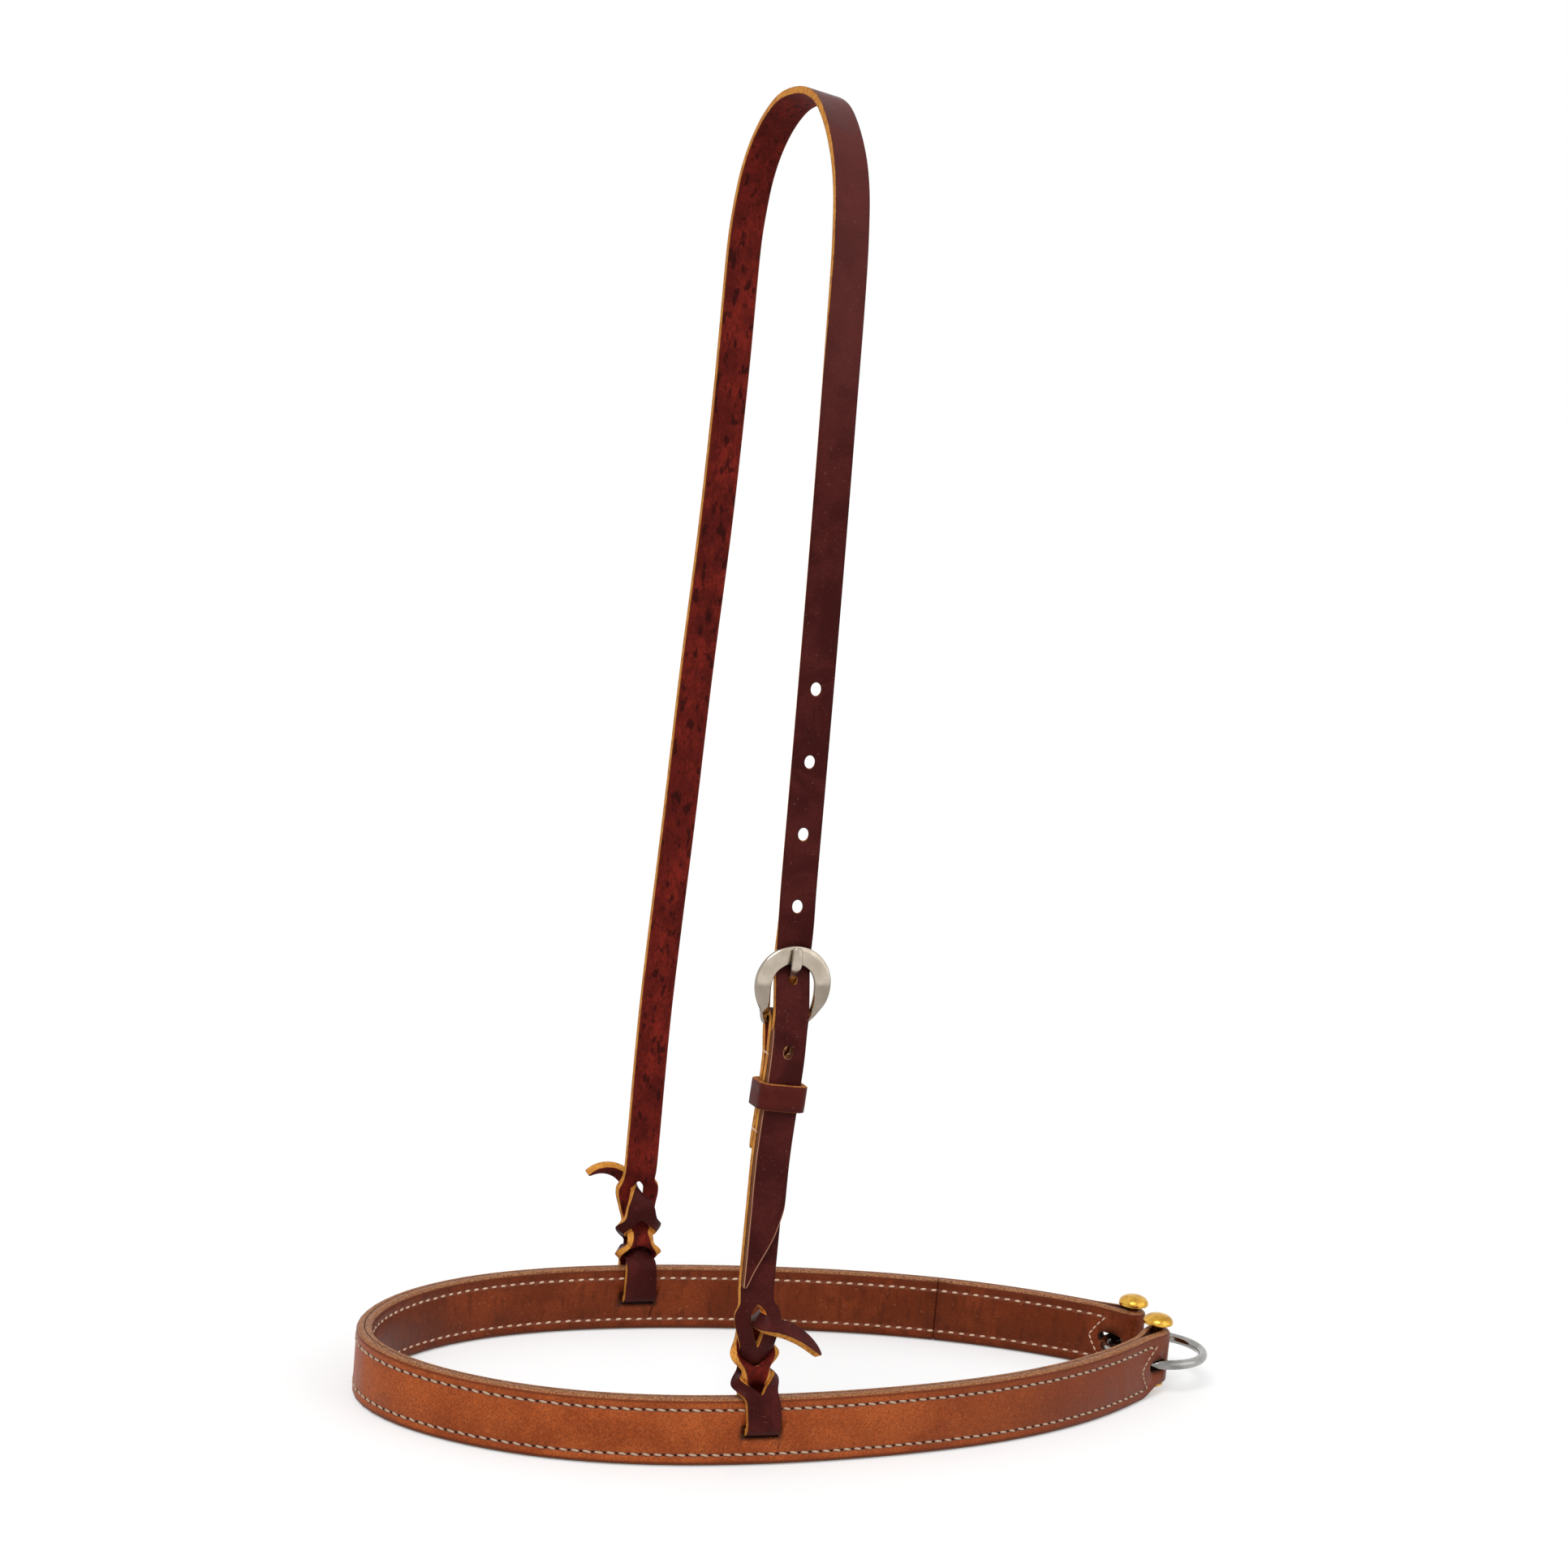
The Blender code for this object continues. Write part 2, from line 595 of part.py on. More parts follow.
def pointed_end(length, root_heading, tip_heading):
    """The strand's end: it rises behind the slit, turns on its edge, comes out and runs to a point."""
    behind, width = KNOT_BEHIND, END_WIDTH
    keys = [
        station((0.6, behind, END_EXIT - 8.8), left=STRAP_WIDTH * 0.43),
        station((0.8, behind + 0.1, END_EXIT - 5.2), across=(0.97, 0.05, 0.2), left=width + 1.3, step=1.8),
        station((0.6, behind + 1.8, END_EXIT - 2.3), across=(0.86, -0.1, 0.5), left=width + 0.7, step=1.8),
        station((0.2, behind + 4.4, END_EXIT - 0.6), across=(0.68, -0.1, 0.72), left=width + 0.1, step=1.8),
    ]
    exit_across = Vector((0.5, -0.15, 0.85)).normalized()
    root = Vector((0.0, behind + END_OUT, END_EXIT))

    def heading_at(angle):
        return Vector((math.cos(angle), 0, math.sin(angle)))

    def upper_edge(angle):
        """Direction from the middle to the upper edge of a strip that leans back to the strap."""
        return (Vector((-math.sin(angle), 0, math.cos(angle))) * math.cos(END_EDGE_TILT)
                - Vector((0, 1, 0)) * math.sin(END_EDGE_TILT))

    along = heading_at(root_heading)
    for i in range(5):
        angle = math.pi / 2 * i / 4
        place = root + END_BEND * (Vector((0, 1, 0)) * math.sin(angle) + along * (1 - math.cos(angle)))
        keys.append(station(place, across=exit_across.lerp(upper_edge(root_heading), i / 4), left=width,
                            step=1.8))
    place = keys[-1]["point"].copy()
    shares = ((0.2, 1.0), (0.4, 0.95), (0.6, 0.82), (0.8, 0.6), (0.93, 0.36), (1.0, 0.12))
    done = 0.0
    for share, part in shares:
        middle = root_heading + (tip_heading - root_heading) * (done + share) / 2
        place = place + heading_at(middle) * length * (share - done)
        heading = root_heading + (tip_heading - root_heading) * share
        keys.append(station(place, across=upper_edge(heading), left=width * part, step=2.4))
        done = share
    return keys


# Depths of the strands in a knot, out from the band's outer face
KNOT_INSIDE = -BAND_THICK - CLEAR - STRAP_THICK / 2 - 0.1
KNOT_OUTSIDE = CLEAR + STRAP_THICK / 2
KNOT_MIDDLE = (KNOT_INSIDE + KNOT_OUTSIDE) / 2
KNOT_BEHIND = KNOT_MIDDLE - STRAP_THICK - CLEAR
KNOT_FRONT = KNOT_MIDDLE + STRAP_THICK + CLEAR


def bleed_knot(end):
    """Key stations from the standing strap down, through the band and back out to the pointed end."""
    half = STRAP_WIDTH / 2
    slot_z = BAND_HEIGHT / 2 - 0.1
    bend = 2.5
    low, high = LOWER_CROSSING, UPPER_CROSSING
    slit_low, slit_high = END_SLIT
    keys = [
        station((0, KNOT_MIDDLE, KNOT_TOP)),
        station((0, KNOT_MIDDLE + 2.0, slit_high), left=half),
        station((0, KNOT_FRONT - 0.2, END_EXIT + 2.6), left=half * 0.96, gap=END_SLIT_OPEN * 0.95,
                turn=END_SLIT_TURN),
        station((0, KNOT_FRONT + 0.3, END_EXIT - 0.8), left=half * 0.94, gap=END_SLIT_OPEN, turn=END_SLIT_TURN),
        station((0, KNOT_FRONT + 0.1, END_EXIT - 5.2), left=half * 0.92, gap=END_SLIT_OPEN * 0.6,
                turn=END_SLIT_TURN / 2),
        station((0, KNOT_FRONT - 0.6, slit_low), left=half * 0.9, cup=0.35),
        station((0, KNOT_MIDDLE, high), left=CUP_WIDTH, cup=CUP_BEND),
        station((0, KNOT_BEHIND, high - 4.0), left=CUP_WIDTH, cup=0.5),
        station((0, KNOT_MIDDLE, low), left=CUP_WIDTH, gap=LEG_OPEN, turn=LEG_TURN),
        station((0, KNOT_OUTSIDE, low - 5.6), left=half * 0.95),
        station((0, KNOT_OUTSIDE, low - 9.5)),
        station((0, KNOT_OUTSIDE, slot_z + bend + 1.5), step=1.6),
    ]
    for i in range(5):
        angle = math.pi / 2 * i / 4
        keys.append(station((0, KNOT_OUTSIDE - bend + bend * math.cos(angle),
                             slot_z + bend - bend * math.sin(angle)), step=1.6))
    for i in range(5):
        angle = math.pi / 2 * i / 4
        keys.append(station((0, KNOT_INSIDE + bend - bend * math.sin(angle),
                             slot_z + bend - bend * math.cos(angle)), step=1.6))
    keys += [
        station((0, KNOT_INSIDE, slot_z + bend + 1.5)),
        station((0, KNOT_INSIDE, low - 6.0), left=half * 0.95),
        station((0, KNOT_MIDDLE, low), left=CUP_WIDTH, cup=CUP_BEND),
        station((0, KNOT_FRONT - 0.6, low + 3.4), left=CUP_WIDTH, cup=0.6),
        station((0, KNOT_MIDDLE, high), left=CUP_WIDTH, gap=LEG_OPEN, turn=LEG_TURN),
    ]
    return keys + pointed_end(*end)


def place_knot(keys, side):
    """Bring a knot's stations to the near slot (-1) or, turned half round, to the far one (1)."""
    rows = []
    for key in keys:
        row = dict(key)
        p, a = key["point"], key["across"]
        row["point"] = Vector((-side * p.x, side * (OUTER_FACE + p.y), p.z))
        row["across"] = Vector((-side * a.x, side * a.y, a.z))
        rows.append(row)
    return rows


# The straps

def stack_out(height):
    """Distance of the standing chape's middle from the middle plane, straight from knot to bar."""
    low = OUTER_FACE + KNOT_MIDDLE
    high = BAR_OUT + BAR_RADIUS + CLEAR + STRAP_THICK / 2
    return low + (high - low) * (height - KNOT_TOP) / (BAR_HEIGHT - KNOT_TOP)


BAR_MIDDLE = Vector((lean(-1, BAR_HEIGHT + FRAME_TOP / 2), -BAR_OUT, BAR_HEIGHT))
STRAP_AT_RIM = BAR_OUT + RIM_BACKSET - RIM_THICK / 2 - RIM_GAP - STRAP_THICK / 2


def hanger_side(side):
    """Stations of one side of the hanger above the buckle, from below the crown down."""
    rows = []
    bank_start = CROWN_HEIGHT - BANK_DROP
    for height, out, _ in HANGER_LINE[1:]:
        bank = CROWN_BANK * ease((height - bank_start) / BANK_DROP)
        rows.append(station((0, side * out, height), (-side * math.cos(bank), 0, side * math.sin(bank)),
                            step=7.0 if height > bank_start else 15.0))
    return rows


def leaned(rows):
    """The stations moved along X by the hanger's lean at their height."""
    for row in rows:
        row["point"].x += lean(1 if row["point"].y > 0 else -1, row["point"].z)
    return rows


def hanger_strap(mat):
    far = hanger_side(1) + [station((0, *FAR_CHEEK), (-1, 0, 0), step=15.0)]
    near = hanger_side(-1)
    over_bar = BAR_OUT + BAR_RADIUS + 2 * CLEAR + 1.5 * STRAP_THICK + 0.15
    near += [
        station((0, -STRAP_AT_RIM - 0.1, RIM_TOP_HEIGHT + 4.0), step=5.0),
        station((0, -STRAP_AT_RIM, RIM_TOP_HEIGHT - 3.0), step=3.0),
        station((0, -(STRAP_AT_RIM + over_bar) / 2, (RIM_TOP_HEIGHT + BAR_HEIGHT) / 2 + 1.0), step=3.0),
        station((0, -over_bar, BAR_HEIGHT + 3.5), step=3.0),
        station((0, -over_bar, BAR_HEIGHT - 3.0), step=6.0),
    ]
    half = STRAP_WIDTH / 2
    for height in (BAR_HEIGHT - STRAIGHT_TO, CHAPE_END_HEIGHT, TAIL_TIP_HEIGHT + TAIL_POINT + 3.0):
        near.append(station((0, -stack_out(height) - LAYER_PITCH, height), step=15.0))
    for share, right in ((0.0, 0.97), (0.2, 0.72), (0.97, -0.75), (1.0, -0.86)):
        height = TAIL_TIP_HEIGHT + TAIL_POINT * (1 - share)
        near.append(station((0, -stack_out(height) - LAYER_PITCH, height), left=half,
                            right=half * right, step=7.0))
    # The ribbon runs from the far knot's pointed end, up, over the crown and down to the tail's point.
    crown = station((0, 0, CROWN_HEIGHT), (math.cos(CROWN_BANK), 0, -math.sin(CROWN_BANK)), step=6.0)
    rows = leaned(turned_back(far + place_knot(bleed_knot(FAR_END), 1)) + [crown] + near)
    return finish("hanger_strap", ribbon(smooth_stations(rows)), mat, origin=(0, 0, BAND_HEIGHT / 2))


def turned_back(rows):
    """The same strap read from its other end: its width points the other way, so its grain stays out."""
    back = []
    for i, row in enumerate(reversed(rows)):
        following = rows[max(len(rows) - 2 - i, 0)]
        back.append(dict(row, across=-row["across"], left=row["right"], right=row["left"],
                         step=following["step"]))
    return back


def buckle_chape(mat):
    """Near strap: from its pointed end through the knot, up, round the bar and down the inside."""
    straight = [station((0, -stack_out(height), height), step=15.0)
                for height in (CHAPE_END_HEIGHT, KNOT_TOP + STRAIGHT_FROM)]
    rows = turned_back(straight + place_knot(bleed_knot(NEAR_END), -1))
    radius = BAR_RADIUS + CLEAR + STRAP_THICK / 2
    straight_end = BAR_HEIGHT - STRAIGHT_TO
    rows.append(station((0, -stack_out(straight_end), straight_end), (-1, 0, 0), step=10.0))
    fold_end = BAR_HEIGHT - FOLD_END
    rows.append(station((0, -stack_out(fold_end), fold_end), (-1, 0, 0), step=4.0))
    for i in range(9):
        angle = math.pi * i / 8
        rows.append(station((0, -BAR_OUT - radius * math.cos(angle), BAR_HEIGHT + radius * math.sin(angle)),
                            (-1, 0, 0), step=3.0))
    for height, pitch in ((fold_end, 2 * radius - CLEAR), (BAR_HEIGHT - FOLD_NARROW, LAYER_PITCH + 0.8),
                          (BAR_HEIGHT - FOLD_FLAT, LAYER_PITCH), (CHAPE_END_HEIGHT, LAYER_PITCH)):
        rows.append(station((0, pitch - stack_out(height), height), (-1, 0, 0), step=8.0))
    chape = finish("buckle_chape", ribbon(smooth_stations(leaned(rows))), mat, origin=(0, 0, BAND_HEIGHT / 2))
    outline = stadium(CHAPE_SLOT, 2 * CHAPE_SLOT_LENGTH)
    cutter = prism(outline, BAR_MIDDLE, (1, 0, 0), (0, 0, 1), 6 * STRAP_THICK)
    cut(chape, cutter, "tongue_slot")
    return chape


def hole_outline(width, length, steps=12):
    return [(width / 2 * math.cos(2 * math.pi * i / steps), length / 2 * math.sin(2 * math.pi * i / steps))
            for i in range(steps)]


def punch_holes(strap):
    """Adjusting holes above and below the one that the tongue fills."""
    for i in range(-HOLES_BELOW, HOLES_ABOVE + 1):
        height = TONGUE_HOLE_HEIGHT + i * HOLE_PITCH
        out = stack_out(height) + LAYER_PITCH if i < 0 else side_out(height)
        word = "hole_%d" % (i + HOLES_BELOW)
        if i:
            cutter = prism(hole_outline(HOLE_WIDTH, HOLE_LENGTH), (lean(-1, height), -out, height), (1, 0, 0),
                           (0, 0, 1), 2.5 * STRAP_THICK)
        else:
            below, above = TONGUE_LINE[1], TONGUE_LINE[3]
            up = Vector((0, above[1] - below[1], above[0] - below[0])).normalized()
            middle = Vector((BAR_MIDDLE.x, -TONGUE_LINE[2][0], TONGUE_HOLE_HEIGHT))
            outline = rounded_box(TONGUE_WIDTH + 1.0, TONGUE_THICK + TONGUE_PLAY, 1.0, steps=2)
            cutter = prism(outline, middle, (1, 0, 0), up, 5 * STRAP_THICK)
        cut(strap, cutter, word)


def side_out(height):
    """Strap's distance from the middle plane at a height above the buckle."""
    line = ((TONGUE_HOLE_HEIGHT, STRAP_AT_RIM + 2.0), (RIM_TOP_HEIGHT, STRAP_AT_RIM))
    return between(line + tuple(row[:2] for row in HANGER_LINE), height)


# Buckle

def buckle_frame(mat):
    """Horseshoe frame: a flat rim whose heels bend back to a round bar."""
    keys = []

    def rim(x, up, back, width, thick):
        keys.append((Vector((x, -back, up)), width, thick))

    heel = STRAP_WIDTH / 2 + 2 * CLEAR + HEEL_WIDTH / 2
    rim(STRAP_WIDTH / 2 - 1.0, 0.0, 0.0, 2 * BAR_RADIUS, 2 * BAR_RADIUS)
    rim(heel - 0.7, 0.0, 0.0, 2 * BAR_RADIUS, 2 * BAR_RADIUS)
    rim(heel + 0.4, 1.9, RIM_BACKSET * 0.35, HEEL_WIDTH, RIM_THICK)
    rim(heel + 0.9, 5.2, RIM_BACKSET * 0.85, HEEL_WIDTH + 0.6, RIM_THICK)
    rim(FRAME_SIDE - 0.5, 8.6, RIM_BACKSET, RIM_WIDTH * 0.82, RIM_THICK)
    centre = FRAME_TOP - FRAME_SIDE
    for i in range(7):
        angle = math.pi / 2 * i / 6
        width = RIM_WIDTH * (0.93 + 0.07 * i / 6)
        rim(FRAME_SIDE * math.cos(angle), centre + FRAME_SIDE * math.sin(angle), RIM_BACKSET, width, RIM_THICK)
    half = list(keys)
    loop = half + [(Vector((-p.x, p.y, p.z)), w, t) for p, w, t in reversed(half[:-1])]
    bm = bmesh.new()
    rings = []
    count = len(loop)
    for i in range(count):
        point, width, thick = loop[i]
        ahead = (loop[(i + 1) % count][0] - loop[i - 1][0]).normalized()
        back = Vector((0, -1, 0))
        back = (back - ahead * back.dot(ahead)).normalized()
        side = ahead.cross(back)
        # The bar is a regular octagon and the rim a flat bar with broken corners.
        corners = ((0.462, 0.191), (0.191, 0.462)) if width == 2 * BAR_RADIUS else ((0.5, 0.22), (0.36, 0.5))
        ring = []
        for turn_a, turn_b, order in ((1, 1, 1), (-1, 1, -1), (-1, -1, 1), (1, -1, -1)):
            for a, b in corners[::order]:
                ring.append(bm.verts.new(BAR_MIDDLE + point + side * width * a * turn_a
                                         + back * thick * b * turn_b))
        rings.append(ring)
    for i in range(count):
        a, b = rings[i], rings[(i + 1) % count]
        for k in range(8):
            n = (k + 1) % 8
            bm.faces.new((a[k], a[n], b[n], b[k]))
    return finish("buckle_frame", bm, mat, origin=BAR_MIDDLE)


EYE_RADIUS = BAR_RADIUS + CLEAR + TONGUE_THICK / 2
RIM_FRONT = BAR_OUT + RIM_BACKSET + RIM_THICK / 2
TONGUE_REST = RIM_FRONT + CLEAR + TONGUE_THICK / 2
# The blade's middle as (out from the middle plane, height): eye, below the hole, hole, rim edge, tip
TONGUE_LINE = (
    (BAR_OUT - EYE_RADIUS, BAR_HEIGHT + 0.5),
    (BAR_OUT - EYE_RADIUS + 1.0, BAR_HEIGHT + 5.5),
    (STRAP_AT_RIM + 1.9, TONGUE_HOLE_HEIGHT),
    (TONGUE_REST, RIM_TOP_HEIGHT - RIM_WIDTH / 2 - 0.2),
    (TONGUE_REST, RIM_TOP_HEIGHT + 2.0),
)


def buckle_tongue(mat, parent):
    """Tongue: an eye bent round the bar, then a ridged blade through the strap's hole onto the rim."""
    path = []
    for i in range(13):
        angle = math.radians(430 - 250 * i / 12)
        path.append((BAR_OUT + EYE_RADIUS * math.cos(angle), BAR_HEIGHT + EYE_RADIUS * math.sin(angle),
                     TONGUE_WIDTH + 0.3))
    widths = (TONGUE_WIDTH + 0.3, TONGUE_WIDTH, TONGUE_WIDTH, TONGUE_TIP_WIDTH, TONGUE_TIP_WIDTH * 0.9)
    line = [(o, z, w) for (o, z), w in zip(TONGUE_LINE, widths)]
    for i in range(1, len(line) - 1):
        a, b, c, d = line[i - 1], line[i], line[i + 1], line[min(i + 2, len(line) - 1)]
        path += [tuple(blend_value(a[k], b[k], c[k], d[k], t / 4) for k in range(3)) for t in range(4)]
    path.append(line[-1])
    path.append((line[-1][0] - 0.2, line[-1][1] + 0.8, line[-1][2] * 0.55))
    bm = bmesh.new()
    rings = []
    for i, (out, height, width) in enumerate(path):
        a = path[max(i - 1, 0)]
        b = path[min(i + 1, len(path) - 1)]
        ahead = Vector((0, a[0] - b[0], b[1] - a[1])).normalized()
        across = Vector((1, 0, 0))
        front = ahead.cross(across)
        ridge = TONGUE_RIDGE if i > 12 else 0.0
        middle = Vector((BAR_MIDDLE.x, -out, height))
        half = TONGUE_THICK / 2
        ring = [bm.verts.new(middle + across * u + front * v) for u, v in
                ((-width / 2, half), (0, half), (width / 2, half),
                 (width / 2, -half + ridge), (0, -half - ridge * 0.4), (-width / 2, -half + ridge))]
        rings.append(ring)
    for a, b in zip(rings, rings[1:]):
        for k in range(6):
            n = (k + 1) % 6
            bm.faces.new((a[k], a[n], b[n], b[k]))
    bm.faces.new(rings[0])
    bm.faces.new(rings[-1])
    return finish("buckle_tongue", bm, mat, origin=BAR_MIDDLE, parent=parent)


def chape_point(height):
    return Vector((lean(-1, height), -stack_out(height), height))


def keeper(mat, parent):
    """Closed leather loop round the chape's two layers and the strap's tail."""
    centre = chape_point(KEEPER_HEIGHT)
    up = (chape_point(KEEPER_HEIGHT + 1) - centre).normalized()
    across = (Vector((1, 0, 0)) - up * up.x).normalized()
    out = across.cross(up)
    width = STRAP_WIDTH + 2 * KEEPER_PLAY
    depth = 2 * LAYER_PITCH + STRAP_THICK + 2 * KEEPER_PLAY
    inner = rounded_box(width, depth, 1.4)
    outer = rounded_box(width + 2 * KEEPER_THICK, depth + 2 * KEEPER_THICK, 1.4 + KEEPER_THICK)
    bm = bmesh.new()
    rings = []
    for outline, level in ((inner, -0.5), (outer, -0.5), (outer, 0.5), (inner, 0.5)):
        rings.append([bm.verts.new(centre + across * a + out * b + up * KEEPER_LENGTH * level)
                      for a, b in outline])
    count = len(inner)
    for k in range(4):
        a, b = rings[k], rings[(k + 1) % 4]
        for i in range(count):
            n = (i + 1) % count
            bm.faces.new((a[i], a[n], b[n], b[i]))
    return finish("keeper", bm, mat, origin=centre, parent=parent)


clear_scene()
MAT_BAND = material("oiled_harness_leather", (0.40, 0.155, 0.06), 0.5)
MAT_STRAP = material("latigo_leather", (0.075, 0.02, 0.018), 0.45)
MAT_KEEPER = material("keeper_leather", (0.11, 0.02, 0.016), 0.45)
MAT_NICKEL = material("nickel", (0.62, 0.56, 0.48), 0.3, 1.0)
MAT_STEEL = material("steel", (0.6, 0.6, 0.58), 0.25, 1.0)
MAT_BRASS = material("brass", (0.75, 0.52, 0.22), 0.25, 1.0)

OUTER_PLY = noseband_outer_ply(MAT_BAND)
LINING = noseband_lining(MAT_BAND)
cut_band_slots(OUTER_PLY, LINING)
for PIN_SIDE, PIN_WORD in ((-1, "near"), (1, "far")):
    RIVET = rivet(PIN_WORD, PIN_SIDE, MAT_BRASS)
    burr(PIN_WORD, PIN_SIDE, MAT_BRASS, RIVET)
tie_down_ring(MAT_STEEL)
HANGER = hanger_strap(MAT_STRAP)
punch_holes(HANGER)
buckle_chape(MAT_STRAP)
FRAME = buckle_frame(MAT_NICKEL)
buckle_tongue(MAT_NICKEL, FRAME)
keeper(MAT_KEEPER, HANGER)
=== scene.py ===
import json
import math
import random

import bmesh
import bpy
from mathutils import Matrix, Vector
from mathutils.kdtree import KDTree


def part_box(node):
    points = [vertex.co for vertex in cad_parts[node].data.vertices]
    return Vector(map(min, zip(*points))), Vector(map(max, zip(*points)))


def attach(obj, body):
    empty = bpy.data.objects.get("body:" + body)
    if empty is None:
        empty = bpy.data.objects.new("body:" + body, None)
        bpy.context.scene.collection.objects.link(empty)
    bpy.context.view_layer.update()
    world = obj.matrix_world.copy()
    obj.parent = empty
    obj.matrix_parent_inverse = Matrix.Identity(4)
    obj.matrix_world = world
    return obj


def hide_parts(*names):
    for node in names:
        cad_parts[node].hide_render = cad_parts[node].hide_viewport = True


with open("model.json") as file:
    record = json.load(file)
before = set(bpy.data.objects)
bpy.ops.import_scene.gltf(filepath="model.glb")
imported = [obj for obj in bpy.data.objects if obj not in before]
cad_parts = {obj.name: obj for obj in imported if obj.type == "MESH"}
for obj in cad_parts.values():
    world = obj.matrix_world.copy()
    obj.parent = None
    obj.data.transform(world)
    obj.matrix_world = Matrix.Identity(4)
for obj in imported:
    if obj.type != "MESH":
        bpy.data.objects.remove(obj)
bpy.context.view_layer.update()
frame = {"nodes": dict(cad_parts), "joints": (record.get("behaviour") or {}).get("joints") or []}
mm = 0.001
print("frame loaded:", len(frame["nodes"]), "nodes")


# The plies, the keeper and the buckle start as merged copies of their CAD nodes.

def nodeMesh(name):
    bm = bmesh.new()
    bm.from_mesh(frame["nodes"][name].data)
    bmesh.ops.remove_doubles(bm, verts=bm.verts, dist=0.005 * mm)
    bmesh.ops.join_triangles(bm, faces=bm.faces, angle_face_threshold=math.radians(25),
                             angle_shape_threshold=math.radians(50))
    bm.normal_update()
    return bm


def faceRegions(bm, sharpAngle):
    # groups of faces that meet along edges flatter than the angle, the largest first
    seen, regions = set(), []
    for face in bm.faces:
        if face in seen:
            continue
        seen.add(face)
        region = [face]
        for current in region:
            for edge in current.edges:
                if len(edge.link_faces) == 2 and edge.calc_face_angle(0) <= sharpAngle:
                    fresh = [other for other in edge.link_faces if other not in seen]
                    seen.update(fresh)
                    region += fresh
        regions.append(region)
    return sorted(regions, key=lambda r: -sum(f.calc_area() for f in r))


def cutAt(bm, height):
    # cut the mesh by a level plane at a height in millimetres
    return bmesh.ops.bisect_plane(bm, geom=bm.verts[:] + bm.edges[:] + bm.faces[:], dist=1e-7,
                                  plane_co=(0, 0, height * mm), plane_no=(0, 0, 1))["geom_cut"]


def toMesh(name, bm):
    mesh = bpy.data.meshes.new(name)
    bm.to_mesh(mesh)
    bm.free()
    return mesh


def addObject(name, data):
    obj = bpy.data.objects.new(name, data)
    bpy.context.scene.collection.objects.link(obj)
    return obj


def addPiece(name, bm, materials, body, replaces=(), levels=0):
    mesh = toMesh(name, bm)
    for mat in materials:
        mesh.materials.append(mat)
    mesh.shade_smooth()
    obj = addObject(name, mesh)
    if levels:
        mod = obj.modifiers.new("smooth", 'SUBSURF')
        mod.levels = levels
        mod.render_levels = levels
    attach(obj, body)
    if replaces:
        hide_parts(*replaces)


def ease(x):
    x = max(0.0, min(1.0, x))
    return x * x * (3.0 - 2.0 * x)


# Shader nodes. A node is fed from a dictionary of constants and other nodes' outputs.

def feed(tree, node, inputs):
    for key, value in inputs.items():
        if isinstance(value, bpy.types.NodeSocket):
            tree.links.new(value, node.inputs[key])
        else:
            node.inputs[key].default_value = value


def addNode(tree, kind, inputs, **settings):
    node = tree.nodes.new(kind)
    for key, value in settings.items():
        setattr(node, key, value)
    feed(tree, node, inputs)
    return node.outputs


def maths(tree, operation, *values):
    return addNode(tree, 'ShaderNodeMath', dict(enumerate(values)), operation=operation)[0]


def times(tree, a, b):
    return maths(tree, 'MULTIPLY', a, b)


def apart(tree, a, b):
    return maths(tree, 'ABSOLUTE', maths(tree, 'SUBTRACT', a, b))


def remap(tree, value, low, high, toLow=0.0, toHigh=1.0):
    inputs = {"Value": value, "From Min": low, "From Max": high, "To Min": toLow, "To Max": toHigh}
    return addNode(tree, 'ShaderNodeMapRange', inputs, interpolation_type='SMOOTHSTEP')["Result"]


def mixColor(tree, factor, a, b):
    a, b = (x if isinstance(x, bpy.types.NodeSocket) else (*x, 1.0) for x in (a, b))
    return addNode(tree, 'ShaderNodeMix', {0: factor, 6: a, 7: b}, data_type='RGBA')[2]


def noise(tree, place, scale, detail, roughness=0.5, distortion=0.0):
    inputs = {"Vector": place, "Scale": scale, "Detail": detail, "Roughness": roughness,
              "Distortion": distortion}
    return addNode(tree, 'ShaderNodeTexNoise', inputs)["Fac"]


def stretched(tree, place, scale, turn=(0.0, 0.0, 0.0)):
    return addNode(tree, 'ShaderNodeMapping', {"Vector": place, "Rotation": turn, "Scale": scale})[0]


def axes(tree, place):
    return addNode(tree, 'ShaderNodeSeparateXYZ', {"Vector": place})


def attribute(tree, name):
    return addNode(tree, 'ShaderNodeAttribute', {}, attribute_name=name)["Fac"]


# Node groups shared by the materials: a position and numbers go in, masks and heights come out

def hideGrain(tree, place, cells, clouds, specks):
    # pebbled hide: small cells, fine fibre, clouds of tone and pale specks
    cell = addNode(tree, 'ShaderNodeTexVoronoi', {"Vector": place, "Scale": cells},
                   feature='SMOOTH_F1')["Distance"]
    fine = noise(tree, place, times(tree, cells, 1.7), 3.0, 0.65)
    return {"Height": maths(tree, 'ADD', times(tree, cell, 0.8), times(tree, fine, 0.7)),
            "Fine": remap(tree, fine, 0.36, 0.64),
            "Cloud": remap(tree, noise(tree, place, clouds, 4.0, 0.6, 0.6), 0.36, 0.66),
            "Speck": remap(tree, noise(tree, place, specks, 1.0), 0.70, 0.76)}


def cutFibre(tree, place, scale):
    # cut or fleshy leather: short fibres drawn along one direction, broken into tufts
    fibre = noise(tree, place, scale, 5.0, 0.7, 1.2)
    tuft = noise(tree, place, times(tree, scale, 0.22), 3.0, 0.6)
    height = maths(tree, 'ADD', times(tree, fibre, 0.65), times(tree, tuft, 0.35))
    return {"Tone": remap(tree, height, 0.38, 0.62), "Height": height}


